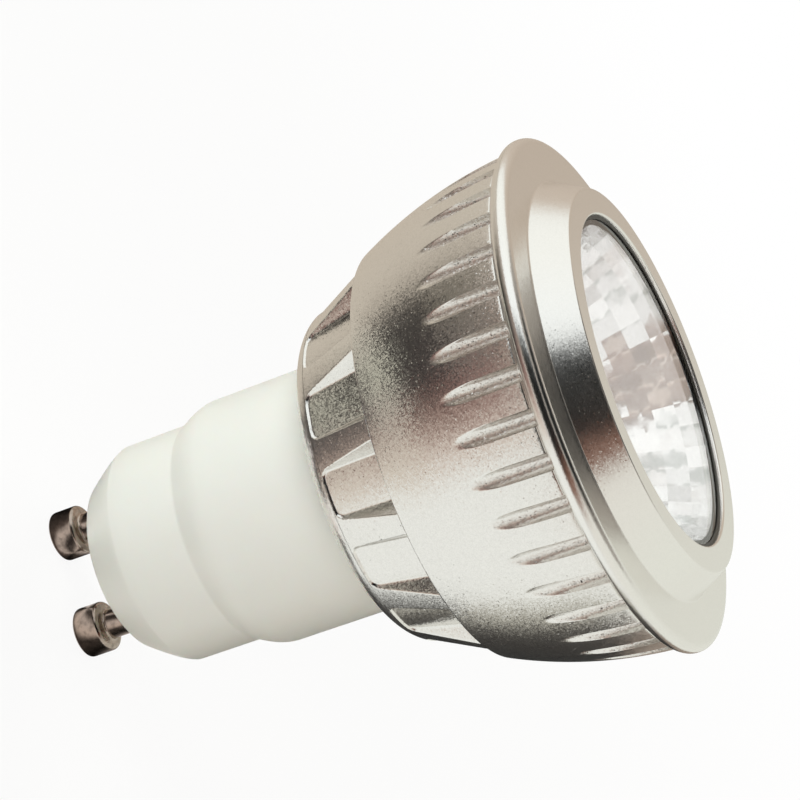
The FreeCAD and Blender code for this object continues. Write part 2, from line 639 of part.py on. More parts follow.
def make_light_source():
    """The emitter on its square board, the thermal pad under it and the board's two screws."""
    screws = [("board_screw_place", "board_screw_place"),
              ("-board_screw_place", "-board_screw_place")]
    leads = [("led_lead_side", LEAD_FACE), ("-led_lead_side", LEAD_FACE)]
    for label, height, thickness in (("thermal_pad", FLOOR_TOP, "pad_thickness"),
                                     ("cob_board", PAD_TOP, "board_thickness")):
        body = moulded_box(label, "board_side", "board_side", thickness, "board_corner")
        sketch = new_sketch(body, "XY_Plane")
        circles(sketch, [(x, y, "board_screw_r + fit_gap") for x, y in screws]
                + [(x, y, "lead_hole_r") for x, y in leads])
        pocketed(body, sketch, thickness)
        place(body, z=height)
        as_node(body, label)

    emitter = new_body("cob_emitter")
    turned(emitter, [("0", "0"), ("emitter_r", "0"), ("emitter_r", "emitter_height"),
                     ("emitter_glow_r", "emitter_height"),
                     ("emitter_glow_r", "emitter_height - emitter_sink"),
                     ("0", "emitter_height - emitter_sink")])
    place(emitter, z=BOARD_TOP)
    as_node(emitter, "cob_emitter")

    make_screws("cob_screws", screws, BOARD_TOP, "board_screw_r", "board_screw_length")
    make_screws("base_screws", [("0", "base_screw_place"), ("0", "-base_screw_place")],
                FLOOR_TOP, "base_screw_r", "base_screw_length")


def make_screws(label, places, seat, shank, length):
    """Equal pan-head screws as one group, with heads on a seat and shanks down from it."""
    bodies = []
    for x, y in places:
        body = new_body(label + "_one")
        head = f"{shank} * screw_head_share"
        turned(body, [("0", f"-{length}"), (f"{shank} * 0.5", f"-{length}"),
                      (shank, f"{shank} - {length}"), (shank, "0"), (head, "0"),
                      (head, "screw_head_height * 0.4"), (f"{head} * 0.6", "screw_head_height"),
                      ("0", "screw_head_height")])
        for long_way in ("XZ_Plane", "YZ_Plane"):
            sketch = new_sketch(body, long_way)
            reach = f"{head} * 0.55"
            outline(sketch, [(f"-({reach})", "screw_head_height * 0.45"),
                             (reach, "screw_head_height * 0.45"),
                             (reach, "screw_head_height * 1.2"),
                             (f"-({reach})", "screw_head_height * 1.2")])
            slot = pocketed(body, sketch, "screw_slot")
            slot.Midplane = True
        place(body, x, y, seat)
        bodies.append(body)
    group = doc.addObject("Part::Compound", label)
    group.Links = bodies
    as_node(group, label)


def capacitor(label, radius, length):
    """A can with rounded ends and a crimped groove near its foot, standing on z = 0."""
    body = new_body(label)
    groove = f"{length} * 0.12"
    turned(body, [("0", "0"), (radius, "0"), (radius, f"{groove} - can_crimp"),
                  (f"{radius} - can_crimp", groove), (radius, f"{groove} + can_crimp"),
                  (radius, length), ("0", length)])
    round_edges(body, "can_edge", [(radius, "0"), (radius, length)])
    return as_node(body, label)


def make_driver():
    """The driver: a board along the axis between the base's walls, with its parts on both faces."""
    width = f"2 * (sqrt({BASE_BORE_R}^2 - {DRIVER_FACE}^2) - driver_gap)"
    board = doc.addObject("Part::Box", "driver_board")
    bind(board, Length=width, Width="driver_thickness", Height="driver_length")
    place(board, f"-({width}) / 2", f"-{DRIVER_FACE}", "driver_rear")
    as_node(board, "driver_board")

    bulk = capacitor("bulk_capacitor", "bulk_r", "bulk_length")
    place(bulk, y=f"{DRIVER_FACE} + bulk_r", z="bulk_rear")
    output = capacitor("output_capacitor", "output_r", "output_length")
    place(output, "-output_side", f"-({DRIVER_FACE} + output_r)", "output_rear")

    coil = new_body("power_inductor")
    plate_top = "coil_length - coil_plate"
    turned(coil, [("0", "0"), ("coil_r", "0"), ("coil_r", "coil_plate"),
                  ("coil_core_r", "coil_plate"), ("coil_core_r", plate_top),
                  ("coil_r", plate_top), ("coil_r", "coil_length"), ("0", "coil_length")])
    place(coil, y=f"-{DRIVER_FACE}", z="coil_height", axis=Vector(1, 0, 0), angle=90)
    as_node(coil, "power_inductor")

    for label, part, side, face in (("bridge_rectifier", "bridge", "-bridge_side", 1),
                                    ("film_capacitor", "film", "film_side", 1),
                                    ("driver_chip", "chip", "chip_side", -1)):
        body = moulded_box(label, f"{part}_width", f"{part}_depth", f"{part}_length", "case_edge")
        place(body, side, f"{face} * ({DRIVER_FACE} + {part}_depth / 2)", f"{part}_rear")
        as_node(body, label)

    fuse = new_body("fuse_resistor")
    turned(fuse, [("0", "0"), ("fuse_r", "0"), ("fuse_r", "fuse_length / 4"),
                  ("fuse_r - fuse_waist", "fuse_length / 3"),
                  ("fuse_r - fuse_waist", "fuse_length * 2 / 3"),
                  ("fuse_r", "fuse_length * 3 / 4"), ("fuse_r", "fuse_length"),
                  ("0", "fuse_length")])
    place(fuse, "fuse_side", f"{DRIVER_FACE} + fuse_r", "fuse_rear")
    as_node(fuse, "fuse_resistor")


def make_leads():
    """Mains leads that bend from the pins' tails to the driver board, and straight emitter leads."""
    shift = f"({LEAD_FACE} + fit_gap)"
    bend_angle = f"acos(1 - {shift} / (2 * lead_bend))"
    rise = f"2 * lead_bend * sin({bend_angle})"
    for label, side in (("live_lead", PIN_SIDE), ("neutral_lead", f"-{PIN_SIDE}")):
        body = new_body(label)
        path = new_sketch(body, "YZ_Plane")
        open_path(path, [("0", "0"), (f"{shift} / 2", f"{rise} / 2"), (shift, rise),
                         (shift, f"{rise} + lead_run")],
                  {0: ("lead_bend", -1), 1: ("lead_bend", 1)})
        section = new_sketch(body, "XY_Plane")
        circles(section, [("0", "0", "lead_r")])
        pipe = body.newObject("PartDesign::AdditivePipe", "pipe")
        pipe.Profile = section
        pipe.Spine = path
        doc.recompute()
        place(body, x=side, z=PIN_TAIL_END)
        as_node(body, label)
    for label, side in (("led_positive_lead", "led_lead_side"),
                        ("led_negative_lead", "-led_lead_side")):
        lead = cylinder(label, "lead_r", f"{BOARD_TOP} + led_lead_end - led_lead_rear")
        place(lead, side, f"{LEAD_FACE} + fit_gap", "led_lead_rear")
        as_node(lead, label)


def open_path(sketch, corners, arcs):
    """An open path through corners, with arcs as in a closed outline."""
    points = [Vector(size(x), size(y), 0) for x, y in corners]
    for index, (start, end) in enumerate(zip(points, points[1:])):
        if index in arcs:
            radius, bow = arcs[index]
            sketch.addGeometry(arc_between(start, end, bow * size(radius)), False)
        else:
            sketch.addGeometry(Part.LineSegment(start, end), False)


def check_and_export():
    """Stop on any failed object or bad shape, then write one file for each piece."""
    doc.recompute()
    for item in doc.Objects:
        if "Invalid" in item.State or "Error" in item.State:
            raise RuntimeError(f"{item.Label} failed: {item.State}")
    for item in nodes:
        if item.Shape.isNull() or not item.Shape.isValid():
            raise RuntimeError(f"{item.Label} has no valid shape")
    os.makedirs("parts", exist_ok=True)
    for item in nodes:
        item.Shape.exportStep(os.path.join("parts", item.Label + ".step"))


fill_sheet()
make_pins()
make_base()
make_heat_sink()
make_cup()
make_bezel()
make_lens()
make_reflector()
make_light_source()
make_driver()
make_leads()
check_and_export()
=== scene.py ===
"""A GU10 reflector spotlight bulb, dressed around its CAD frame.

The pieces are made at their real size, in metres, in the frame's own axes: +Z is along the beam, the
contact pins point along -Z, and z = 0 is the end face of the white base.
"""
import math

import bmesh
import bpy
from bpy.props import FloatProperty, FloatVectorProperty, IntProperty, PointerProperty
from mathutils import Matrix, Vector


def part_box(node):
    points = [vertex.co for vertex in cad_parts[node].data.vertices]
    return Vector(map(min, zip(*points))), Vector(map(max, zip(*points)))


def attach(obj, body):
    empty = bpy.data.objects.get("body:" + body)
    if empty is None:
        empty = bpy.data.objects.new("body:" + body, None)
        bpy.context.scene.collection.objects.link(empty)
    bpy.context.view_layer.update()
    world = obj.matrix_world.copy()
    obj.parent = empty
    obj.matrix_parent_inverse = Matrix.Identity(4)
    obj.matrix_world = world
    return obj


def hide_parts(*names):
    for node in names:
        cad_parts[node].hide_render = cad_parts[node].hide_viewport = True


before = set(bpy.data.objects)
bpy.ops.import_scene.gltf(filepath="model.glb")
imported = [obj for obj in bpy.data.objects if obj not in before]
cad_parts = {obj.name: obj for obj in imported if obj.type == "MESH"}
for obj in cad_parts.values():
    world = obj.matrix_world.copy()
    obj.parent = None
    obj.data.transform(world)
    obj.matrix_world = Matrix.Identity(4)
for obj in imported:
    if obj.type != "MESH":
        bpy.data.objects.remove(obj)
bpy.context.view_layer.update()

bl_info = {
    "name": "Spotlight Bulb",
    "version": (1, 0, 0),
    "blender": (4, 5, 0),
    "location": "View3D > Sidebar > Bulb",
    "description": "Builds the pieces of a twist-lock reflector spotlight bulb around its CAD frame",
    "category": "Add Mesh",
}

MM = 0.001
TURN = 2 * math.pi
# Gap between pieces that fit in each other
FIT = 0.05 * MM

# Places that the frame gives: the lowest and highest corner of each node that shows
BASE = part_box("base_housing")
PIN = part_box("contact_pin_a")
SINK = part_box("heat_sink")
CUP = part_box("fluted_cup")
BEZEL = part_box("front_bezel")
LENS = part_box("front_lens")
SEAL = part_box("lens_seal")
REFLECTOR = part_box("reflector")
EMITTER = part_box("cob_emitter")
BASE_R = (BASE[1].x - BASE[0].x) / 2
PIN_R = (PIN[1].x - PIN[0].x) / 2
PIN_SIDE = (PIN[1].x + PIN[0].x) / 2
SINK_R = max(SINK[1].x, SINK[1].y)
CUP_R = CUP[1].x
BEZEL_R = BEZEL[1].x
LENS_R = LENS[1].x
EMITTER_R = EMITTER[1].x


def linear(code):
    """The linear colour of an sRGB hex code."""
    parts = [int(code[at:at + 2], 16) / 255 for at in (1, 3, 5)]
    return [part / 12.92 if part <= 0.04045 else ((part + 0.055) / 1.055) ** 2.4 for part in parts]


def length_of(label, millimetres, meaning):
    """A length that a user may change, given in millimetres."""
    return FloatProperty(name=label, description=meaning, default=millimetres * MM, unit="LENGTH",
                         precision=5)


def colour_of(label, code, meaning):
    """A colour that a user may change, given as a hex code."""
    return FloatVectorProperty(name=label, description=meaning, default=linear(code), subtype="COLOR",
                               min=0.0, max=1.0)


def angle_of(label, degrees, meaning):
    """An angle that a user may change, given in degrees."""
    return FloatProperty(name=label, description=meaning, default=math.radians(degrees), subtype="ANGLE")


class BulbSizes(bpy.types.PropertyGroup):
    """Sizes of the pieces that show, beside those that the frame gives."""
    base_rear_r: length_of("Base, rear part", 11.02, "Radius of the base behind its step")
    base_end_r: length_of("Base, end face", 8.46, "Radius of the base's end face")
    base_taper: length_of("Base taper", 4.15, "Length of the base's tapered end")
    base_crease: length_of("Base crease", 11.05, "Height at which the soft step starts")
    base_step: length_of("Base step", 3.6, "Length of the soft step")
    pin_head: length_of("Pin head", 2.9, "Length of a contact pin's head")
    pin_neck: length_of("Pin neck", 1.45, "Radius of a contact pin's neck")
    sink_rear_r: length_of("Shoulder", 15.7, "Radius of the metal body's rear corner before rounding")
    sink_round: length_of("Shoulder rounding", 2.99, "Rounding of the metal body's rear shoulder")
    tube_r: length_of("Tube", 18.5, "Outer radius of the heat sink's front tube")
    tube_bore: length_of("Tube bore", 17.0, "Inner radius of the heat sink's front tube")
    floor_top: length_of("Floor", 36.65, "Height of the heat sink's floor")
    pocket_count: IntProperty(name="Pockets", description="Pockets round the cone", default=14)
    pocket_turn: angle_of("Pocket direction", -77.7, "Direction of the first pocket")
    pocket_length: length_of("Pocket length", 6.8, "From the pockets' rear end to the cup")
    pocket_half: length_of("Pocket half width", 2.5, "Half width of a pocket's floor at the cup")
    pocket_depth: length_of("Pocket depth", 1.85, "Depth of the pockets at the cup")
    pocket_rear_depth: length_of("Pocket rear depth", 0.2, "Depth of the pockets at their rear end")
    pocket_draft: angle_of("Pocket draft", 28.0, "Slope of the pockets' side walls")
    pocket_corner: length_of("Pocket corner", 0.9, "Rounding of the pockets' rear corners")
    pocket_soft: length_of("Pocket softness", 0.3, "Softness of the corner between floor and walls")
    cup_rear_r: length_of("Cup rear", 20.3, "Radius of the cup's rear edge")
    cup_curve: length_of("Cup curve", 43.0, "Radius of the cup's bowed wall")
    flute_count: IntProperty(name="Flutes", description="Flutes round the cup", default=38)
    flute_turn: angle_of("Flute direction", -88.5, "Direction of the first flute")
    flute_r: length_of("Flute cutter", 0.8, "Radius of the round-nosed cutter")
    flute_axis: length_of("Flute axis", 23.9, "From the bulb's axis to the cutter's axis")
    flute_soft: length_of("Flute edge", 0.07, "Softness of the flutes' edges")
    skirt_r: length_of("Skirt", 22.2, "Radius of the bezel's skirt inside the cup")
    flange_front: length_of("Flange front", 52.95, "Height of the flange's front face")
    flange_round: length_of("Flange rim", 0.85, "Rounding of the flange's rim")
    neck_r: length_of("Neck", 20.45, "Radius of the bezel's cone at the flange")
    face_r: length_of("Front ring", 18.65, "Outer radius of the front ring")
    opening_r: length_of("Opening", 16.1, "Radius of the light opening")
    seal_inner: length_of("Seal", 15.8, "Inner radius of the seal")
    bowl_rim: length_of("Bowl rim", 16.0, "Radius of the reflector's bowl at its mouth")
    bowl_throat: length_of("Bowl throat", 5.5, "Radius of the reflector's bowl at the emitter")
    bowl_wall: length_of("Bowl wall", 0.6, "Wall of the reflector")
    facet_count: IntProperty(name="Facets", description="Facets round the bowl", default=40)
    facet_rows: IntProperty(name="Facet rows", description="Rows of facets in the bowl", default=8)
    facet_bulge: length_of("Facet bulge", 0.05, "How far a facet's middle stands proud of its corners")


class BulbFinishes(bpy.types.PropertyGroup):
    """Colours of the finishes."""
    aluminium: colour_of("Aluminium", "#F0EEEA", "Bead-blasted aluminium")
    plastic: colour_of("Base", "#EDEEEA", "White moulded plastic")
    nickel: colour_of("Pins", "#B5A79C", "Dull nickel plate")
    seal: colour_of("Seal", "#3C3A35", "Dark rubber")
    mirror: colour_of("Reflector", "#FBFCFB", "Vacuum-metallised plastic")
    phosphor: colour_of("Emitter", "#EFD05A", "Phosphor gel")


class BulbStage(bpy.types.PropertyGroup):
    """Camera and studio."""
    lens: FloatProperty(name="Lens", description="Focal length on a 36 mm sensor", default=121.48)
    azimuth: angle_of("Azimuth", 13.28, "Camera round the bulb, from the -Y side")
    elevation: angle_of("Elevation", 18.99, "Camera above the horizon")
    roll: angle_of("Roll", -70.0, "Camera about its line of sight, which lays the bulb on its side")
    distance: length_of("Distance", 265.0, "From the camera to the point it aims at")
    aim: FloatVectorProperty(name="Aim", description="Point that the camera aims at", unit="LENGTH",
                             default=(-8.0 * MM, 7.0 * MM, 29.19 * MM))


# Mesh helpers

def rounded(corners, steps=6):
    """A profile of (radius, height) through corners, each with a third value that rounds it.

    A point just outside each rounding keeps the flat faces beside it flat under smooth shading.
    """
    points = []
    count = len(corners)
    for index, (radius, height, rounding) in enumerate(corners):
        here = Vector((radius, height))
        if rounding <= 0:
            points.append(here)
            continue
        before = Vector(corners[index - 1][:2]) - here
        after = Vector(corners[(index + 1) % count][:2]) - here
        half = before.angle(after) / 2
        middle = (before.normalized() + after.normalized()).normalized()
        centre = here + middle * (rounding / math.sin(half))
        reach = rounding / math.tan(half)
        start = here + before.normalized() * reach - centre
        end = here + after.normalized() * reach - centre
        sweep = start.angle_signed(end)
        support = reach + min(0.06 * MM, 0.2 * reach)
        if before.length > 2 * reach:
            points.append(here + before.normalized() * support)
        for step in range(steps + 1):
            points.append(centre + Matrix.Rotation(-sweep * step / steps, 2) @ start)
        if after.length > 2 * reach:
            points.append(here + after.normalized() * support)
    return points


def bowed(start, end, radius, steps):
    """Points of an arc from start to end that bows away from the axis, both ends left out."""
    way = end - start
    middle = (start + end) / 2
    outward = Vector((way.y, -way.x)).normalized()
    centre = middle - outward * math.sqrt(radius ** 2 - (way.length / 2) ** 2)
    first = start - centre
    sweep = first.angle_signed(end - centre)
    return [centre + Matrix.Rotation(-sweep * step / steps, 2) @ first for step in range(1, steps)]


def divided(start, end, steps):
    """Points between start and end, both left out."""
    return [start.lerp(end, step / steps) for step in range(1, steps)]


def even_angles(count):
    return [TURN * step / count for step in range(count)]


def skinned(name, rings, closed, wrapped=True):
    """A mesh object through rows of points, each with as many points as the others or just one.

    closed joins the last row to the first, and wrapped joins the end of each row to its start.
    """
    mesh = bmesh.new()
    rows = [[mesh.verts.new(point) for point in ring] for ring in rings]
    pairs = list(zip(rows, rows[1:]))
    if closed:
        pairs.append((rows[-1], rows[0]))
    for low, high in pairs:
        count = max(len(low), len(high))
        for at in range(count if wrapped else count - 1):
            beside = (at + 1) % count
            corners = [row[place % len(row)] for row, place in
                       ((low, at), (low, beside), (high, beside), (high, at))]
            unique = list(dict.fromkeys(corners))
            if len(unique) > 2:
                mesh.faces.new(unique)
    bmesh.ops.recalc_face_normals(mesh, faces=mesh.faces)
    data = bpy.data.meshes.new(name)
    mesh.to_mesh(data)
    mesh.free()
    piece = bpy.data.objects.new(name, data)
    bpy.context.scene.collection.objects.link(piece)
    return piece


def lathed(name, profile, angles, centre=(0.0, 0.0), shell=False):
    """A turned mesh: the profile's (radius, height) points swept round an axis parallel to Z.

    The profile's ends are joined, unless it is a shell or has a point on the axis.
    """
    rings = []
    for radius, height in profile:
        if radius < 1e-7:
            rings.append([(centre[0], centre[1], height)])
        else:
            rings.append([(centre[0] + radius * math.cos(angle), centre[1] + radius * math.sin(angle),
                           height) for angle in angles])
    has_pole = len(rings[0]) == 1 or len(rings[-1]) == 1
    return skinned(name, rings, not (has_pole or shell))


def sector(name, profile, angles, radius_at):
    """One sector of a turned mesh, where a function of point and angle gives the radius."""
    rows = []
    for point in profile:
        row = []
        for angle in angles:
            radius = radius_at(point, angle)
            row.append((radius * math.cos(angle), radius * math.sin(angle), point.y))
        rows.append(row)
    return skinned(name, rows, True, wrapped=False)


def mirrored(half):
    """Angles on both sides of zero."""
    return sorted(set(half + [-angle for angle in half]))


def joined(pieces):
    """One object from several, kept under the first one's name."""
    first = pieces[0]
    mesh = bmesh.new()
    for piece in pieces:
        mesh.from_mesh(piece.data)
    mesh.to_mesh(first.data)
    mesh.free()
    for piece in pieces[1:]:
        bpy.data.objects.remove(piece)
    return first


def smooth(piece, degrees=30.0):
    """Smooth shading with crisp edges where faces meet at more than an angle."""
    piece.data.shade_smooth()
    piece.data.set_sharp_from_angle(angle=math.radians(degrees))


def seat(piece, material, slot, *nodes):
    """Give a piece its finish and tie it to the frame."""
    piece.data.materials.clear()
    piece.data.materials.append(material)
    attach(piece, "root")
    if nodes:
        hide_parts(*nodes)


def coat(node, material):
    """Give a CAD node that stays its finish."""
    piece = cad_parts[node]
    piece.data.materials.clear()
    piece.data.materials.append(material)


# Node helpers

MATH = "ShaderNodeMath"
VECTOR_MATH = "ShaderNodeVectorMath"
MAP_RANGE = "ShaderNodeMapRange"
NOISE = "ShaderNodeTexNoise"
MIX = "ShaderNodeMixRGB"
SURFACE = "ShaderNodeBsdfPrincipled"
OUTPUT = "ShaderNodeOutputMaterial"


def add(tree, kind, links=None, **settings):
    """Add a node, set its properties, and set or link its inputs by name or number.

    A node that is given for an input stands for its first output.
    """
    item = tree.nodes.new(kind)
    for name, value in settings.items():
        setattr(item, name, value)
    for key, value in (links or {}).items():
        if isinstance(value, bpy.types.Node):
            value = value.outputs[0]
        if isinstance(value, bpy.types.NodeSocket):
            tree.links.new(value, item.inputs[key])
        else:
            item.inputs[key].default_value = value
    return item


def new_finish(name):
    """An empty material, its tree, and the Object coordinates that its patterns read."""
    material = bpy.data.materials.new(name)
    material.use_nodes = True
    tree = material.node_tree
    tree.nodes.clear()
    return material, tree, add(tree, "ShaderNodeTexCoord").outputs["Object"]


def shaded(colour, share=1.0):
    """A colour with a share of its light, as a node's input takes it."""
    return (*[part * share for part in colour], 1.0)


def leaning(tree, toss, amount):
    """The surface's normal, tossed about by a random colour."""
    away = add(tree, VECTOR_MATH, {0: toss, 1: (0.5, 0.5, 0.5)}, operation="SUBTRACT")
    away = add(tree, VECTOR_MATH, {0: away, "Scale": amount}, operation="SCALE")
    face = add(tree, "ShaderNodeNewGeometry").outputs["Normal"]
    tilted = add(tree, VECTOR_MATH, {0: face, 1: away})
    return add(tree, VECTOR_MATH, {0: tilted}, operation="NORMALIZE")


def new_shape_tree(name, sizes):
    """An empty Geometry Nodes tree with a mesh input, sized inputs and a material."""
    tree = bpy.data.node_groups.new(name, "GeometryNodeTree")
    tree.interface.new_socket("Geometry", in_out="INPUT", socket_type="NodeSocketGeometry")
    for label, kind in sizes:
        tree.interface.new_socket(label, in_out="INPUT", socket_type=kind)
    tree.interface.new_socket("Material", in_out="INPUT", socket_type="NodeSocketMaterial")
    tree.interface.new_socket("Geometry", in_out="OUTPUT", socket_type="NodeSocketGeometry")
    return tree, add(tree, "NodeGroupInput").outputs


def finish_shape_tree(tree, given, geometry):
    """End a tree in Realize Instances and Set Material."""
    real = add(tree, "GeometryNodeRealizeInstances", {"Geometry": geometry})
    coated = add(tree, "GeometryNodeSetMaterial", {"Geometry": real, "Material": given["Material"]})
    add(tree, "NodeGroupOutput", {0: coated})


def through_nodes(piece, tree, **values):
    """Run a piece through a tree and keep the result as its plain mesh."""
    modifier = piece.modifiers.new(tree.name, "NODES")
    modifier.node_group = tree
    for item in tree.interface.items_tree:
        key = item.name.lower().replace(" ", "_")
        if item.in_out == "INPUT" and key in values:
            modifier[item.identifier] = values[key]
    keep_result(piece, modifier)


def keep_result(piece, modifier):
    """Make what a modifier gives the piece's own mesh, and remove the modifier."""
    graph = bpy.context.evaluated_depsgraph_get()
    result = bpy.data.meshes.new_from_object(piece.evaluated_get(graph), depsgraph=graph)
    piece.modifiers.remove(modifier)
    piece.data = result


# Finishes

def blasted_aluminium(name, colour, grain):
    """Bead-blasted aluminium: satin metal whose tiny dents each glint their own way."""
    material, tree, place = new_finish(name)
    dent = 0.1 * MM
    cells = add(tree, "ShaderNodeTexVoronoi", {"Vector": place, "Scale": 1 / dent}).outputs
    # A few dents lean far more than the rest and sparkle
    chance = add(tree, "ShaderNodeTexWhiteNoise", {"Vector": cells["Position"]}).outputs["Value"]
    rare = add(tree, MATH, {0: chance, 1: 12.0}, operation="POWER")
    amount = add(tree, MAP_RANGE, {"Value": rare, "To Min": 0.12 * grain, "To Max": 0.45 * grain})
    normal = leaning(tree, cells["Color"], amount)
    patch = add(tree, NOISE, {"Vector": place, "Scale": 1 / (3.0 * MM), "Detail": 3.0})
    rough = add(tree, MAP_RANGE, {"Value": patch, "From Min": 0.3, "From Max": 0.7,
                                  "To Min": 0.17, "To Max": 0.21})
    tone = add(tree, MIX, {"Fac": chance, 1: shaded(colour), 2: shaded(colour, 1 - 0.1 * grain)})
    # Polished tops of the dents mirror the room, and their blasted walls only glow
    wall_rough, wall_share = 0.28, 0.28
    tops, walls = [add(tree, SURFACE, {"Base Color": tone, "Metallic": 1.0, "Roughness": roughness,
                                       "Normal": normal}) for roughness in (rough, wall_rough)]
    shader = add(tree, "ShaderNodeMixShader", {0: wall_share, 1: tops, 2: walls})
    add(tree, OUTPUT, {"Surface": shader})
    return material


def white_plastic(name, colour):
    """White polycarbonate, moulded: a satin skin with a faint ripple and a trace of depth."""
    material, tree, place = new_finish(name)
    ripple = add(tree, NOISE, {"Vector": place, "Scale": 1 / (0.9 * MM), "Detail": 3.0})
    bump = add(tree, "ShaderNodeBump", {"Height": ripple, "Strength": 0.12, "Distance": 0.02 * MM})
    cloud = add(tree, NOISE, {"Vector": place, "Scale": 1 / (7.0 * MM), "Detail": 2.0})
    tone = add(tree, MIX, {"Fac": cloud, 1: shaded(colour), 2: shaded(colour, 0.96)})
    rough = add(tree, MAP_RANGE, {"Value": cloud, "To Min": 0.32, "To Max": 0.42})
    shader = add(tree, SURFACE, {
        "Base Color": tone, "Roughness": rough, "IOR": 1.58, "Normal": bump, "Subsurface Weight": 0.1,
        "Subsurface Scale": 1.0 * MM})
    add(tree, OUTPUT, {"Surface": shader})
    return material


def nickel_plate(name, colour):
    """Nickel plate on turned brass: a dull shine with turning marks and dark spots."""
    material, tree, place = new_finish(name)
    # Turning marks are rings across the pin's axis
    stretch = add(tree, "ShaderNodeMapping", {"Vector": place, "Scale": (0.2, 0.2, 1.0)})
    marks = add(tree, NOISE, {"Vector": stretch, "Scale": 1 / (0.15 * MM), "Detail": 2.0})
    spots = add(tree, NOISE, {"Vector": place, "Scale": 1 / (0.6 * MM), "Detail": 4.0})
    dark = add(tree, MAP_RANGE, {"Value": spots, "From Min": 0.42, "From Max": 0.72})
    tone = add(tree, MIX, {"Fac": dark, 1: shaded(colour), 2: shaded(colour, 0.6)})
    rough = add(tree, MAP_RANGE, {"Value": marks, "To Min": 0.12, "To Max": 0.26})
    bump = add(tree, "ShaderNodeBump", {"Height": marks, "Strength": 0.2, "Distance": 0.01 * MM})
    shader = add(tree, SURFACE, {"Base Color": tone, "Metallic": 1.0, "Roughness": rough, "Normal": bump})
    add(tree, OUTPUT, {"Surface": shader})
    return material


def clear_acrylic(name):
    """Clear acrylic, polished: sees through to the bowl, with a breath of dust."""
    material, tree, place = new_finish(name)
    dust = add(tree, NOISE, {"Vector": place, "Scale": 1 / (1.2 * MM), "Detail": 5.0})
    rough = add(tree, MAP_RANGE, {"Value": dust, "From Min": 0.55, "From Max": 0.8, "To Min": 0.0,
                                  "To Max": 0.04})
    shader = add(tree, SURFACE, {
        "Base Color": (1.0, 1.0, 1.0, 1.0), "Roughness": rough, "IOR": 1.49, "Transmission Weight": 1.0})
    add(tree, OUTPUT, {"Surface": shader})
    return material


def metallised(name, colour):
    """Vacuum-metallised plastic: bright mirror facets with a thin haze, each facet darkened by its own
    painted reflection tone.
    """
    material, tree, place = new_finish(name)
    haze = add(tree, NOISE, {"Vector": place, "Scale": 1 / (1.5 * MM), "Detail": 4.0})
    rough = add(tree, MAP_RANGE, {"Value": haze, "From Min": 0.35, "From Max": 0.75, "To Min": 0.03,
                                  "To Max": 0.09})
    # Each facet has its own tone, a painted reflection that stands for what that facet mirrors, and leans
    # its own way
    spread, lean = 900.0, 0.18
    facet = add(tree, "ShaderNodeAttribute", attribute_name="facet_tone").outputs["Fac"]
    tone = add(tree, MIX, {"Fac": facet, 1: shaded(colour), 2: shaded(colour, 0.7)})
    number = add(tree, MATH, {0: facet, 1: spread}, operation="MULTIPLY")
    toss = add(tree, "ShaderNodeTexWhiteNoise", {"W": number}, noise_dimensions="1D").outputs["Color"]
    normal = leaning(tree, toss, lean)
    shader = add(tree, SURFACE, {"Base Color": tone, "Metallic": 1.0, "Roughness": rough, "Normal": normal})
    add(tree, OUTPUT, {"Surface": shader})
    return material


def mottled(name, code, grain, metallic=0.0, roughness=(0.4, 0.6), shade=0.8):
    """A plain finish whose tone and gloss wander over grains of a given size in millimetres."""
    material, tree, place = new_finish(name)
    colour = linear(code) if isinstance(code, str) else list(code)
    grains = add(tree, NOISE, {"Vector": place, "Scale": 1 / (grain * MM), "Detail": 4.0})
    tone = add(tree, MIX, {"Fac": grains, 1: shaded(colour), 2: shaded(colour, shade)})
    rough = add(tree, MAP_RANGE, {"Value": grains, "To Min": roughness[0], "To Max": roughness[1]})
    bump = add(tree, "ShaderNodeBump", {"Height": grains, "Strength": 0.15, "Distance": 0.03 * MM})
    shader = add(tree, SURFACE, {
        "Base Color": tone, "Metallic": metallic, "Roughness": rough, "Normal": bump})
    add(tree, OUTPUT, {"Surface": shader})
    return material


def finish_named(name, make, *values):
    """A finish by its name, made the first time that it is asked for."""
    return bpy.data.materials.get(name) or make(name, *values)


# Shape trees

def copies_tree():
    """Equal copies of one sector round the Z axis, welded to each other."""
    tree, given = new_shape_tree("round_copies", [("Count", "NodeSocketInt"), ("Turn", "NodeSocketFloat")])
    places = add(tree, "GeometryNodePoints", {"Count": given["Count"]})
    pitch = add(tree, MATH, {0: TURN, 1: given["Count"]}, operation="DIVIDE")
    number = add(tree, "GeometryNodeInputIndex")
    angle = add(tree, MATH, {0: number, 1: pitch, 2: given["Turn"]}, operation="MULTIPLY_ADD")
    turned = add(tree, "ShaderNodeCombineXYZ", {2: angle})
    copies = add(tree, "GeometryNodeInstanceOnPoints", {
        "Points": places, "Instance": given["Geometry"], "Rotation": turned})
    real = add(tree, "GeometryNodeRealizeInstances", {"Geometry": copies})
    welded = add(tree, "GeometryNodeMergeByDistance", {"Geometry": real, "Distance": 0.002 * MM})
    finish_shape_tree(tree, given, welded)
    return tree


def repeated_round(piece, count, turn, material):
    """Repeat one sector round the axis."""
    tree = bpy.data.node_groups.get("round_copies") or copies_tree()
    through_nodes(piece, tree, count=count, turn=turn, material=material)
    mesh = bmesh.new()
    mesh.from_mesh(piece.data)
    bmesh.ops.recalc_face_normals(mesh, faces=mesh.faces)
    mesh.to_mesh(piece.data)
    mesh.free()


def soft_min(first, second, softness):
    """The smaller of two numbers, with a rounded change from one to the other."""
    near = max(softness - abs(first - second), 0.0) / softness
    return min(first, second) - near * near * softness / 4


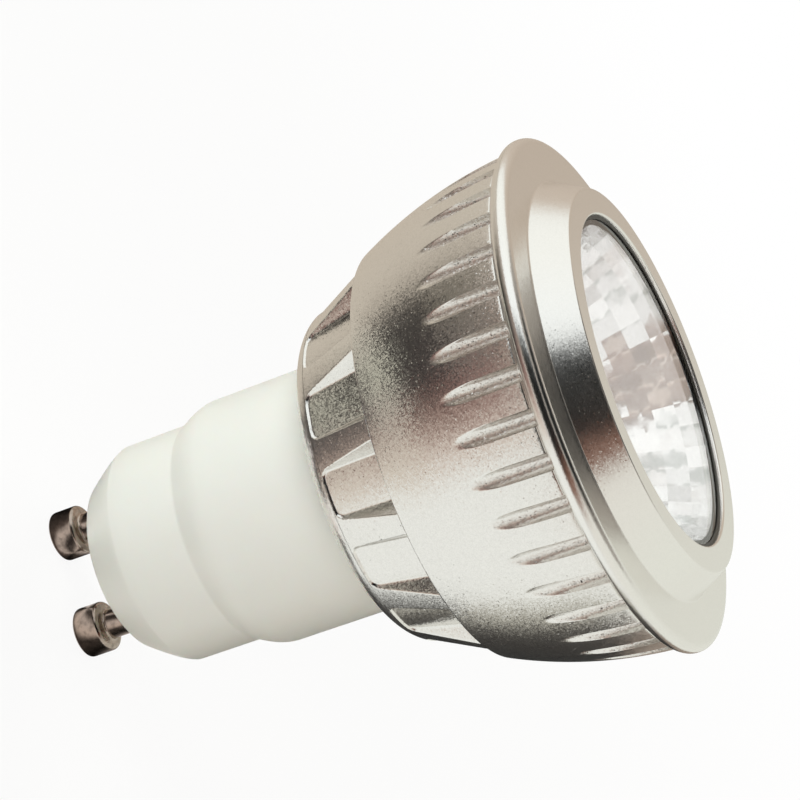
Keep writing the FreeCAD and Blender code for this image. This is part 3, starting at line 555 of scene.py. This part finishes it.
def facet_tree():
    """A paraboloid bowl of facets: a grid wrapped round the axis."""
    number, whole = "NodeSocketFloat", "NodeSocketInt"
    tree, given = new_shape_tree("facets", [
        ("Columns", whole), ("Rows", whole), ("Throat", number), ("Rim", number), ("Rear", number),
        ("Front", number), ("Bulge", number)])
    # Each facet is a patch of 4 x 4 faces, so that its middle can stand proud
    faces = 4.0
    across, along = [add(tree, MATH, {0: given[label], 1: faces, 2: 1.0}, operation="MULTIPLY_ADD")
                     for label in ("Columns", "Rows")]
    grid = add(tree, "GeometryNodeMeshGrid", {
        "Size X": 1.0, "Size Y": 1.0, "Vertices X": across, "Vertices Y": along})
    point = add(tree, "GeometryNodeInputPosition")
    parts = add(tree, "ShaderNodeSeparateXYZ", {0: point}).outputs
    share = add(tree, MATH, {0: parts["Y"], 1: 0.5}, operation="ADD")
    # Each facet has a number from 0 to 1 that its painted reflection tone follows, and stands proud in its
    # middle
    facet, stride = 0.0, 53.0
    proud = given["Bulge"]
    for place, count in ((parts["X"], given["Columns"]), (share, given["Rows"])):
        cell = add(tree, MATH, {0: place, 1: count}, operation="MULTIPLY")
        whole_cell = add(tree, MATH, {0: cell}, operation="FLOOR")
        facet = add(tree, MATH, {0: facet, 1: stride, 2: whole_cell}, operation="MULTIPLY_ADD")
        cell = add(tree, MATH, {0: cell}, operation="FRACT")
        rest = add(tree, MATH, {0: 1.0, 1: cell}, operation="SUBTRACT")
        hump = add(tree, MATH, {0: cell, 1: rest}, operation="MULTIPLY")
        hump = add(tree, MATH, {0: hump, 1: 4.0}, operation="MULTIPLY")
        proud = add(tree, MATH, {0: proud, 1: hump}, operation="MULTIPLY")
    chance = add(tree, "FunctionNodeRandomValue", {"ID": facet, "Seed": 7}).outputs[1]
    grid = add(tree, "GeometryNodeStoreNamedAttribute", {
        "Geometry": grid, "Name": "facet_tone", "Value": chance}, domain="FACE")
    # The square of the radius grows evenly with the height
    low, high = [add(tree, MATH, {0: given[label], 1: 2.0}, operation="POWER")
                 for label in ("Throat", "Rim")]
    square = add(tree, MAP_RANGE, {"Value": share, "To Min": low, "To Max": high})
    radius = add(tree, MATH, {0: square}, operation="SQRT")
    radius = add(tree, MATH, {0: radius, 1: proud}, operation="SUBTRACT")
    height = add(tree, MAP_RANGE, {"Value": share, "To Min": given["Rear"], "To Max": given["Front"]})
    angle = add(tree, MATH, {0: parts["X"], 1: TURN}, operation="MULTIPLY")
    waves = [add(tree, MATH, {0: angle}, operation=kind) for kind in ("COSINE", "SINE")]
    x, y = [add(tree, MATH, {0: radius, 1: wave}, operation="MULTIPLY") for wave in waves]
    there = add(tree, "ShaderNodeCombineXYZ", {0: x, 1: y, 2: height})
    wrapped = add(tree, "GeometryNodeSetPosition", {"Geometry": grid, "Position": there})
    welded = add(tree, "GeometryNodeMergeByDistance", {"Geometry": wrapped, "Distance": 0.001 * MM})
    finish_shape_tree(tree, given, welded)
    return tree


# Pieces

def sizes():
    return bpy.context.scene.bulb_sizes


def finishes():
    return bpy.context.scene.bulb_finishes


class BULB_OT_white_base(bpy.types.Operator):
    """White base: a tapered end, and a soft step up to the metal body"""
    bl_idname = "bulb.white_base"
    bl_label = "White Base"

    def execute(self, context):
        size = sizes()
        rear, end, top = size.base_rear_r, size.base_end_r, BASE[1].z
        # The end face has a soft edge, and the taper bows a little
        profile = [Vector((0.0, 0.0)), Vector((end - 0.35 * MM, 0.0)), Vector((end - 0.1 * MM, 0.06 * MM))]
        steps, bow = 16, 1.2
        for step in range(1, steps + 1):
            share = step / steps
            grown = 1 - (1 - share) ** bow
            profile.append(Vector((end + (rear - end) * grown, size.base_taper * share)))
        crease = Vector((rear, size.base_crease))
        profile += divided(profile[-1], crease, 4) + [crease - Vector((0.0, 0.15 * MM)), crease]
        for step in range(1, steps + 1):
            share = step / steps
            swell = rear + (BASE_R - rear) * math.sin(math.pi / 2 * share)
            profile.append(Vector((swell, size.base_crease + size.base_step * share)))
        front = Vector((BASE_R, top))
        profile += divided(profile[-1], front, 6) + [front, Vector((0.0, top))]
        piece = lathed("white_base", profile, even_angles(192))
        smooth(piece, 40.0)
        material = finish_named("moulded_polycarbonate", white_plastic, finishes().plastic)
        seat(piece, material, "white_plastic", "base_housing")
        return {"FINISHED"}


class BULB_OT_contact_pins(bpy.types.Operator):
    """Two stepped contact pins with rounded heads"""
    bl_idname = "bulb.contact_pins"
    bl_label = "Contact Pins"

    def execute(self, context):
        size = sizes()
        tip = PIN[0].z
        shoulder = tip + size.pin_head
        # The neck ends a little way inside the base
        end = 0.5 * MM
        profile = [Vector((0.0, tip))] + rounded([
            (0.35 * PIN_R, tip, 0.0), (PIN_R, tip, 0.4 * MM), (PIN_R, shoulder, 0.45 * MM),
            (size.pin_neck, shoulder, 0.25 * MM), (size.pin_neck, end, 0.0)])
        profile.append(Vector((0.0, end)))
        material = finish_named("nickel_plate", nickel_plate, finishes().nickel)
        for name, node, side in (
                ("pin_right", "contact_pin_a", PIN_SIDE), ("pin_left", "contact_pin_b", -PIN_SIDE)):
            piece = lathed(name, profile, even_angles(96), (side, 0.0))
            smooth(piece)
            seat(piece, material, "nickel", node)
        return {"FINISHED"}


class BULB_OT_heat_sink(bpy.types.Operator):
    """Cast heat sink: a round shoulder and a cone with pockets, and a tube that carries the cup"""
    bl_idname = "bulb.heat_sink"
    bl_label = "Heat Sink"

    def execute(self, context):
        size = sizes()
        bore = BASE_R + FIT
        front = Vector((SINK_R, CUP[0].z))
        shoulder = rounded([(bore, SINK[0].z, 0.15 * MM), (size.sink_rear_r, SINK[0].z, size.sink_round),
                            (*front, 0.0)], 14)[:-1]
        slope = (front.x - shoulder[-1].x) / (front.y - shoulder[-1].y)
        rear = front.y - size.pocket_length
        # Rows are crowded round the pockets' rear ends
        heights = [rear + step * 0.09 * MM for step in range(-1, 22)]
        heights += [heights[-1] + (front.y - heights[-1]) * step / 14 for step in range(1, 15)]
        first = Vector((front.x + (heights[0] - front.y) * slope, heights[0]))
        cone = divided(shoulder[-1], first, 4)
        cone += [Vector((front.x + (height - front.y) * slope, height)) for height in heights]
        inside = [Vector(pair) for pair in (
            (size.tube_r, front.y), (size.tube_r, SINK[1].z), (size.tube_bore, SINK[1].z),
            (size.tube_bore, size.floor_top), (bore, size.floor_top))]

        def radius_at(point, angle):
            if point not in cone:
                return point.x
            return point.x - self.depth(size, point.x * math.sin(angle), front.y - point.y)

        piece = sector("cast_heat_sink", shoulder + cone + inside, self.angles(size), radius_at)
        material = finish_named("bead_blasted_aluminium", blasted_aluminium, finishes().aluminium, 1.0)
        repeated_round(piece, size.pocket_count, size.pocket_turn, material)
        smooth(piece, 40.0)
        seat(piece, material, "blasted_aluminium", "heat_sink")
        return {"FINISHED"}

    def angles(self, size):
        """Columns of one sector, crowded where the pocket's walls stand."""
        end = math.pi / size.pocket_count
        low, high = math.radians(6.2), math.radians(10.6)
        half = [low * step / 5 for step in range(5)] + [low + (high - low) * step / 24 for step in range(24)]
        return mirrored(half + [high, (high + end) / 2, end])

    def depth(self, size, across, behind):
        """Depth of the pocket at a place across it and behind the cup."""
        share = behind / size.pocket_length
        floor = size.pocket_depth + (size.pocket_rear_depth - size.pocket_depth) * share
        lean, narrowing = math.tan(size.pocket_draft), 0.13
        half = size.pocket_half * (1 - narrowing * share) + floor * lean
        # How far inside a rounded outline the place is
        side = abs(across) - half + size.pocket_corner
        end = behind - size.pocket_length + size.pocket_corner
        inside = size.pocket_corner - math.hypot(max(side, 0.0), max(end, 0.0)) - min(max(side, end), 0.0)
        if inside <= 0:
            return 0.0
        return max(soft_min(floor, inside / lean, size.pocket_soft), 0.0)


class BULB_OT_fluted_cup(bpy.types.Operator):
    """Bowed cup with round-nosed flutes that run out towards the rear"""
    bl_idname = "bulb.fluted_cup"
    bl_label = "Fluted Cup"

    def execute(self, context):
        size = sizes()
        edge, broken = 0.35 * MM, 0.25 * MM
        rear, front = Vector((size.cup_rear_r, CUP[0].z)), Vector((CUP_R, CUP[1].z))
        wall = [rear] + bowed(rear, front, size.cup_curve, 64) + [front]
        # The rear edge is rounded and the front one broken, so the parting line reads dark
        lead = rounded([(size.tube_r, rear.y, 0.0), (rear.x, rear.y, edge), (*wall[3], 0.0)], 5)[1:-1]
        last = front.y - 0.6 * broken
        outer = [point for point in wall if rear.y + edge < point.y < last]
        # Inside, a web reaches the tube, and the wall runs from it out to the bezel's skirt
        tube, inner, skirt = size.tube_r + FIT, rear.x - 0.6 * MM, size.skirt_r + FIT
        web, seating = rear.y + 3.0 * MM, rear.y + 13.0 * MM
        profile = [Vector((tube, rear.y))] + lead + outer
        profile += [Vector(pair) for pair in (
            (front.x - 0.03 * MM, last), (front.x - broken, front.y), (skirt, front.y), (skirt, seating),
            (inner, web), (tube, web))]
        piece = sector("bowed_cup", profile, self.angles(size), lambda point, angle: soft_min(
            point.x, self.cutter(size, angle), size.flute_soft))
        material = finish_named("bead_blasted_aluminium", blasted_aluminium, finishes().aluminium, 1.0)
        repeated_round(piece, size.flute_count, size.flute_turn, material)
        smooth(piece, 50.0)
        seat(piece, material, "blasted_aluminium", "fluted_cup")
        return {"FINISHED"}

    def angles(self, size):
        """Columns of one sector, crowded at the flute's edges."""
        edge = math.asin(size.flute_r / size.flute_axis)
        end = math.pi / size.flute_count
        half = [edge * share for share in (
            0.0, 0.2, 0.4, 0.55, 0.7, 0.8, 0.88, 0.94, 0.98, 1.005, 1.06, 1.15)]
        return mirrored(half + [half[-1] + (end - half[-1]) * step / 4 for step in range(1, 5)])

    def cutter(self, size, angle):
        """Radius of the round-nosed cutter's near side, or a metre where there is no cutter."""
        across = size.flute_axis * math.sin(angle)
        if abs(across) >= size.flute_r:
            return 1.0
        return size.flute_axis * math.cos(angle) - math.sqrt(size.flute_r ** 2 - across ** 2)


class BULB_OT_front_bezel(bpy.types.Operator):
    """Front bezel: flange with a round rim, cone neck and a thin lip over the lens"""
    bl_idname = "bulb.front_bezel"
    bl_label = "Front Bezel"

    def execute(self, context):
        size = sizes()
        flange_rear, lip = CUP[1].z, SEAL[1].z
        tube, seating = size.tube_r + FIT, LENS_R + FIT
        profile = rounded([
            (tube, BEZEL[0].z, 0.0), (size.skirt_r, BEZEL[0].z, 0.0),
            (size.skirt_r, flange_rear, 0.0), (BEZEL_R, flange_rear, size.flange_round),
            (BEZEL_R, size.flange_front, size.flange_round), (size.neck_r, size.flange_front, 0.25 * MM),
            (size.face_r, BEZEL[1].z, 0.2 * MM), (size.opening_r, BEZEL[1].z, 0.2 * MM),
            (size.opening_r, lip, 0.0), (seating, lip, 0.0), (seating, SINK[1].z, 0.0),
            (tube, SINK[1].z, 0.0)], 10)
        piece = lathed("lens_bezel", profile, even_angles(288))
        smooth(piece)
        # The ring is turned before it is blasted, so its grain is finer
        material = finish_named("fine_blasted_aluminium", blasted_aluminium, finishes().aluminium, 0.4)
        seat(piece, material, "blasted_aluminium", "front_bezel")
        return {"FINISHED"}


class BULB_OT_front_lens(bpy.types.Operator):
    """Clear lens and the dark seal that the lip presses on it"""
    bl_idname = "bulb.front_lens"
    bl_label = "Front Lens"

    def execute(self, context):
        size = sizes()
        edge = 0.25 * MM
        rear, top = LENS[0].z, LENS[1].z
        profile = [Vector((0.0, rear))] + rounded([
            (0.5 * LENS_R, rear, 0.0), (LENS_R, rear, edge), (LENS_R, top, edge),
            (0.5 * LENS_R, top, 0.0)], 4)
        lens = lathed("clear_lens", profile + [Vector((0.0, top))], even_angles(192))
        smooth(lens)
        seat(lens, finish_named("clear_acrylic", clear_acrylic), "clear_lens", "front_lens")

        low, high, soft = SEAL[0].z, SEAL[1].z, 0.05 * MM
        ring = rounded([(size.seal_inner, low, soft), (LENS_R, low, 0.0), (LENS_R, high, 0.0),
                        (size.seal_inner, high, soft)], 4)
        seal = lathed("lens_gasket", ring, even_angles(192))
        smooth(seal)
        rubber = finish_named("dark_rubber", mottled, finishes().seal, 0.3)
        seat(seal, rubber, "black_rubber", "lens_seal")
        return {"FINISHED"}


class BULB_OT_reflector(bpy.types.Operator):
    """Reflector: a metallised bowl of facets with a rim under the lens"""
    bl_idname = "bulb.reflector"
    bl_label = "Reflector"

    def execute(self, context):
        size = sizes()
        material = finish_named("vacuum_metallised", metallised, finishes().mirror)
        bowl = bpy.data.objects.new("faceted_bowl", bpy.data.meshes.new("faceted_bowl"))
        context.scene.collection.objects.link(bowl)
        through_nodes(bowl, facet_tree(), columns=size.facet_count, rows=size.facet_rows,
                      throat=size.bowl_throat, rim=size.bowl_rim, rear=REFLECTOR[0].z, front=REFLECTOR[1].z,
                      bulge=size.facet_bulge, material=material)
        wall = bowl.modifiers.new("wall", "SOLIDIFY")
        wall.thickness = size.bowl_wall
        wall.offset = -1.0
        keep_result(bowl, wall)
        inner, low, high = size.bowl_rim + 1.1 * size.bowl_wall, SINK[1].z, REFLECTOR[1].z
        ring = rounded([(inner, low, 0.0), (LENS_R, low, 0.0), (LENS_R, high, 0.0), (inner, high, 0.0)])
        rim = lathed("bowl_rim", ring, even_angles(120))
        whole = joined([bowl, rim])
        # Facets meet at crisp edges and are smooth inside
        smooth(whole, 6.0)
        seat(whole, material, "metallised", "reflector")
        return {"FINISHED"}


class BULB_OT_light_source(bpy.types.Operator):
    """Emitter in its dam on the white board, with the finishes of the pieces under it"""
    bl_idname = "bulb.light_source"
    bl_label = "Light Source"

    def execute(self, context):
        dam, glow = 0.7 * MM, 0.2 * MM
        low, top, inner = EMITTER[0].z, EMITTER[1].z, EMITTER_R - dam
        ring = rounded([(inner, low, 0.0), (EMITTER_R, low, 0.0), (EMITTER_R, top, 0.25 * MM),
                        (inner, top, 0.25 * MM)], 5)
        collar = lathed("emitter_dam", ring, even_angles(96))
        smooth(collar)
        seat(collar, finish_named("white_silicone", mottled, "#E9E7E0", 0.4), "white_board")
        field = [Vector(pair) for pair in (
            (0.0, low), (inner, low), (inner, top - 1.2 * glow), (0.5 * EMITTER_R, top - glow),
            (0.0, top - glow))]
        gel = lathed("phosphor_field", field, even_angles(96))
        smooth(gel)
        phosphor = finish_named("phosphor_gel", mottled, finishes().phosphor, 0.25)
        seat(gel, phosphor, "phosphor", "cob_emitter")
        zinc = mottled("zinc_plate", "#B9B9B4", 0.3, 1.0, (0.25, 0.4))
        for node, material in (
                ("cob_board", mottled("white_mask", "#ECECE8", 0.8, 0.0, (0.3, 0.4), 0.95)),
                ("thermal_pad", mottled("grey_silicone", "#8C9196", 0.5)),
                ("cob_screws", zinc), ("base_screws", zinc)):
            coat(node, material)
        return {"FINISHED"}


class BULB_OT_driver(bpy.types.Operator):
    """Finishes of the driver and the leads, which sit inside the base"""
    bl_idname = "bulb.driver"
    bl_label = "Driver"

    def execute(self, context):
        wound = mottled("wound_ferrite", "#3A2B22", 0.4, 0.0, (0.35, 0.55))
        epoxy = mottled("moulded_epoxy", "#1B1B1C", 0.3)
        sleeve = mottled("shrink_sleeve", "#1E2026", 0.6, 0.0, (0.25, 0.35))
        red = mottled("red_insulation", "#A8241C", 0.4, 0.0, (0.35, 0.45))
        black = mottled("black_insulation", "#151515", 0.4, 0.0, (0.35, 0.45))
        for node, material in (
                ("driver_board", mottled("green_mask", "#1F5E38", 0.7, 0.0, (0.3, 0.45))),
                ("bulk_capacitor", sleeve), ("output_capacitor", sleeve), ("power_inductor", wound),
                ("bridge_rectifier", epoxy), ("driver_chip", epoxy),
                ("film_capacitor", mottled("yellow_tape", "#C9A43A", 0.6)),
                ("fuse_resistor", mottled("blue_lacquer", "#6F94A0", 0.5, 0.0, (0.3, 0.45))),
                ("live_lead", red), ("led_positive_lead", red), ("neutral_lead", black),
                ("led_negative_lead", black)):
            coat(node, material)
        return {"FINISHED"}


# Stage

def looked_at(tree):
    """1 where a camera, mirror or glass looks straight at a thing, and 0 for the light that it gives."""
    path = add(tree, "ShaderNodeLightPath").outputs
    seen = path["Is Camera Ray"]
    for kind in ("Is Glossy Ray", "Is Transmission Ray"):
        seen = add(tree, MATH, {0: seen, 1: path[kind]}, operation="MAXIMUM")
    return seen


def ring_of_tones(tree, place, stops):
    """A colour by the angle round the axis, through (degrees, hex code) stops."""
    parts = add(tree, "ShaderNodeSeparateXYZ", {0: place}).outputs
    angle = add(tree, MATH, {0: parts["Y"], 1: parts["X"]}, operation="ARCTAN2")
    share = add(tree, MAP_RANGE, {"Value": angle, "From Min": -math.pi, "From Max": math.pi})
    ramp = add(tree, "ShaderNodeValToRGB", {0: share})
    ramp.color_ramp.interpolation = "EASE"
    elements = ramp.color_ramp.elements
    while len(elements) > 1:
        elements.remove(elements[-1])
    for index, (degrees, code) in enumerate(stops):
        at = (degrees + 180) / 360
        element = elements[0] if index == 0 else elements.new(at)
        element.position = at
        element.color = shaded(linear(code))
    return ramp


class BULB_OT_stage(bpy.types.Operator):
    """White floor and world, soft lamps, reflection cards and the camera"""
    bl_idname = "bulb.stage"
    bl_label = "Stage"

    def execute(self, context):
        scene = context.scene
        scene.view_settings.view_transform = "Standard"
        self.make_floor()
        self.make_world(scene)
        self.make_reflection_cards()
        for name, spot, power, code in (
                ("key_lamp", (-0.48, -0.30, 0.25), 3.0, "#FAFFFA"),
                ("front_lamp", (0.10, -0.60, 0.35), 2.0, "#FFFFFF"),
                ("low_lamp", (0.50, -0.10, 0.10), 1.0, "#FFF2DC"),
                ("back_lamp", (-0.1, 0.5, 0.45), 3.0, "#FFFFFF")):
            self.make_lamp(scene, name, Vector(spot), power, code)
        self.make_camera(scene)
        return {"FINISHED"}

    def make_floor(self):
        """A pale floor that is nearly white when it is looked at, and all white far from the bulb."""
        level, reach = PIN[0].z, 3.0
        near, far, nearly_white = 0.12, 0.4, 0.9
        floor = lathed("floor", [(0.0, level), (reach, level)], even_angles(64))
        material, tree, place = new_finish("white_floor")
        matt = add(tree, "ShaderNodeBsdfDiffuse", {"Color": (0.9, 0.88, 0.83, 1.0)})
        glow = add(tree, "ShaderNodeEmission", {"Color": (1.0, 1.0, 1.0, 1.0)})
        away = add(tree, VECTOR_MATH, {0: place}, operation="LENGTH").outputs["Value"]
        white = add(tree, MAP_RANGE, {
            "Value": away, "From Min": near, "From Max": far, "To Min": nearly_white, "To Max": 1.0})
        share = add(tree, MATH, {0: looked_at(tree), 1: white}, operation="MULTIPLY")
        shader = add(tree, "ShaderNodeMixShader", {0: share, 1: matt, 2: glow})
        add(tree, OUTPUT, {"Surface": shader})
        floor.data.materials.append(material)

    def make_world(self, scene):
        """A white background for camera, mirror and glass, that lights nothing else."""
        world = bpy.data.worlds.new("white_room")
        scene.world = world
        world.use_nodes = True
        tree = world.node_tree
        tree.nodes.clear()
        white = add(tree, "ShaderNodeBackground", {
            "Color": (1.0, 1.0, 1.0, 1.0), "Strength": looked_at(tree)})
        add(tree, "ShaderNodeOutputWorld", {"Surface": white})

    def make_reflection_cards(self):
        """Painted reflections: glowing cards round and over the bulb, whose bands of tone the satin metal
        picks up.
        """
        reach, top, lid = 0.30, 0.42, 0.17
        level = PIN[0].z + 0.2 * MM
        tan, cream, pale, white = "#CFC6B8", "#DDD3C6", "#DCCEC3", "#F8FAF6"
        rear = [(114, "#CBBFAF"), (180, tan)]
        lower = [(-78, pale), (-64, white), (-2, white), (12, "#B8B5A9"), (28, "#383533"),
                 (98, "#1E2224")] + rear
        # Outwards from the middle, pins, core ribs, pockets, cup and flutes mirror the floor's rings, whose
        # tones are painted reflections set for each part
        inside = 0.0
        for name, outside, stops in (
                ("card_pin_floor", 0.02, [
                    (-180, "#1C1A19"), (-160, "#4C4744"), (-148, "#6A625E"), (-136, "#F4EEEA"),
                    (-126, "#F4EEEA"), (-112, "#2A2726"), (-84, "#4C4744"), (-60, "#F4EEEA"),
                    (-40, "#F4EAE2"), (-24, "#4C4744"), (0, "#1C1A19"), (60, "#F4EEEA"), (110, "#4C4744"),
                    (180, "#1C1A19")]),
                ("card_rib_floor", 0.043, [
                    (-180, tan), (-162, "#BFB6A9"), (-146, "#4C4947"), (-112, "#544E4C"), (-98, "#A29086"),
                    (-80, cream), (-60, white), (-5, white), (22, "#3E3B39"), (98, "#2A2C2C")] + rear),
                ("card_pocket_floor", 0.053, [
                    (-180, "#D5CCBE"), (-150, "#D5D0C2"), (-130, "#D8D7C6"), (-100, "#D5CCC0"), (-75, cream),
                    (-55, white), (-5, white), (22, "#4A4846"), (98, "#2A2C2C"), (114, "#CBBFAF"),
                    (180, "#D5CCBE")]),
                ("card_cup_floor", 0.09, [
                    (-180, tan), (-166, "#BFB6A9"), (-148, "#2C2929"), (-112, "#302B2C"), (-99, "#6C524C"),
                    (-90, "#A58C82")] + lower),
                ("card_cup_front_floor", 0.165, [
                    (-180, tan), (-166, "#BFB6A9"), (-148, "#7C766B"), (-116, "#77706A"), (-100, "#8A6A64"),
                    (-90, "#A98F86")] + lower),
                ("card_flute_floor", reach, [
                    (-180, tan), (-142, "#BDB0A5"), (-126, "#A89588"), (-112, "#A08A7C"), (-96, "#D8CFC4"),
                    (-60, "#F2F0EA"), (14, white), (40, "#8F8074"), (98, "#A89C90")] + rear)):
            self.make_reflection_ring(name, [(inside, level), (outside, level)], stops)
            inside = outside
        # Painted reflections round and over the bulb: a wall of white, near-black and brown bands glowing a
        # little brighter than white, a dark lid and a grey cornice
        wall = [(reach, level), (reach, top)]
        self.make_reflection_ring("card_wall", wall, [
            (-180, white), (-122, "#FBFFFF"), (-106, "#0A0D10"), (-66, "#0A0D10"), (-47, "#7F5848"),
            (-32, "#E4E3DC"), (36, "#E2E4DC"), (60, "#DFE0D8"), (92, "#D9DAD1"), (112, "#BBAEA0"),
            (150, "#C6B9AB"), (166, "#F4F6F2"), (180, white)], 1.12)
        self.make_reflection_ring("card_lid", [(0.0, top), (lid, top)], [(-180, "#15181B"), (180, "#15181B")])
        self.make_reflection_ring("card_cornice", [(lid, top), (reach, top)], [(-180, "#A8A29A"), (180, "#A8A29A")])
        # Painted reflections for the bowl, seen only through glass: a brown card and white sheets with grey
        # gaps between them, glowing a little brighter than white
        gaps = [(start + onward, code) for start in (-170, -132, -14, 28, 72, 122)
                for onward, code in ((0, "#FFFFFF"), (6, "#B2B8B6"), (12, "#FFFFFF"))]
        brown = [(-103, "#FFFFFF"), (-101, "#6A5046"), (-92, "#97796C"), (-89, "#CDB8AB"), (-84, "#7E6257"),
                 (-74, "#8E7064"), (-71, "#D8C6BC"), (-66, "#6E5248"), (-55, "#97796C"), (-52, "#C8B2A6"),
                 (-47, "#7E6257"), (-42, "#A0847A"), (-40, "#FFFFFF")]
        bowl = self.make_reflection_ring("card_bowl", wall, sorted(gaps + brown), 1.2)
        bowl.visible_glossy = False
        bowl.visible_transmission = True

    def make_reflection_ring(self, name, profile, stops, strength=1.0):
        """A glowing card round the axis with bands of painted reflection, that only shows in metal and casts
        no shadow.
        """
        card = lathed(name, profile, even_angles(96), shell=True)
        material, tree, place = new_finish(name + "_tones")
        glow = add(tree, "ShaderNodeEmission", {
            "Color": ring_of_tones(tree, place, stops), "Strength": strength})
        add(tree, OUTPUT, {"Surface": glow})
        card.data.materials.append(material)
        card.visible_camera = False
        card.visible_diffuse = False
        card.visible_shadow = False
        card.visible_transmission = False
        return card

    def make_lamp(self, scene, name, spot, power, code):
        light = bpy.data.lights.new(name, "AREA")
        light.energy = power
        light.color = linear(code)
        light.size = 0.6
        lamp = bpy.data.objects.new(name, light)
        lamp.location = spot
        middle = Vector((0.0, 0.0, 0.03))
        lamp.rotation_euler = (middle - spot).to_track_quat("-Z", "Y").to_euler()
        lamp.visible_glossy = False
        lamp.visible_transmission = False
        scene.collection.objects.link(lamp)

    def make_camera(self, scene):
        view = scene.bulb_stage
        data = bpy.data.cameras.new("camera")
        data.lens = view.lens
        data.sensor_width = 36.0
        data.clip_start = 0.01
        camera = bpy.data.objects.new("camera", data)
        flat = math.cos(view.elevation)
        away = Vector((flat * math.sin(view.azimuth), -flat * math.cos(view.azimuth),
                       math.sin(view.elevation)))
        place = Matrix.Translation(Vector(view.aim) + away * view.distance)
        level = (-away).to_track_quat("-Z", "Y").to_matrix().to_4x4()
        camera.matrix_world = place @ level @ Matrix.Rotation(-view.roll, 4, "Z")
        scene.collection.objects.link(camera)
        scene.camera = camera


class BULB_PT_panel(bpy.types.Panel):
    """Lists the bulb's pieces"""
    bl_idname = "BULB_PT_panel"
    bl_label = "Spotlight Bulb"
    bl_space_type = "VIEW_3D"
    bl_region_type = "UI"
    bl_category = "Bulb"

    def draw(self, context):
        for operator in PIECES:
            self.layout.operator(operator.bl_idname)
        for group in (context.scene.bulb_sizes, context.scene.bulb_finishes, context.scene.bulb_stage):
            for name in group.__annotations__:
                self.layout.prop(group, name)


PIECES = (BULB_OT_white_base, BULB_OT_contact_pins, BULB_OT_heat_sink, BULB_OT_fluted_cup,
          BULB_OT_front_bezel, BULB_OT_front_lens, BULB_OT_reflector, BULB_OT_light_source, BULB_OT_driver,
          BULB_OT_stage)
CLASSES = (BulbSizes, BulbFinishes, BulbStage) + PIECES + (BULB_PT_panel,)


def register():
    for item in CLASSES:
        bpy.utils.register_class(item)
    bpy.types.Scene.bulb_sizes = PointerProperty(type=BulbSizes)
    bpy.types.Scene.bulb_finishes = PointerProperty(type=BulbFinishes)
    bpy.types.Scene.bulb_stage = PointerProperty(type=BulbStage)


def unregister():
    del bpy.types.Scene.bulb_stage
    del bpy.types.Scene.bulb_finishes
    del bpy.types.Scene.bulb_sizes
    for item in reversed(CLASSES):
        bpy.utils.unregister_class(item)


def main():
    register()
    for operator in PIECES:
        group, name = operator.bl_idname.split(".")
        getattr(getattr(bpy.ops, group), name)()


if __name__ == "__main__":
    main()
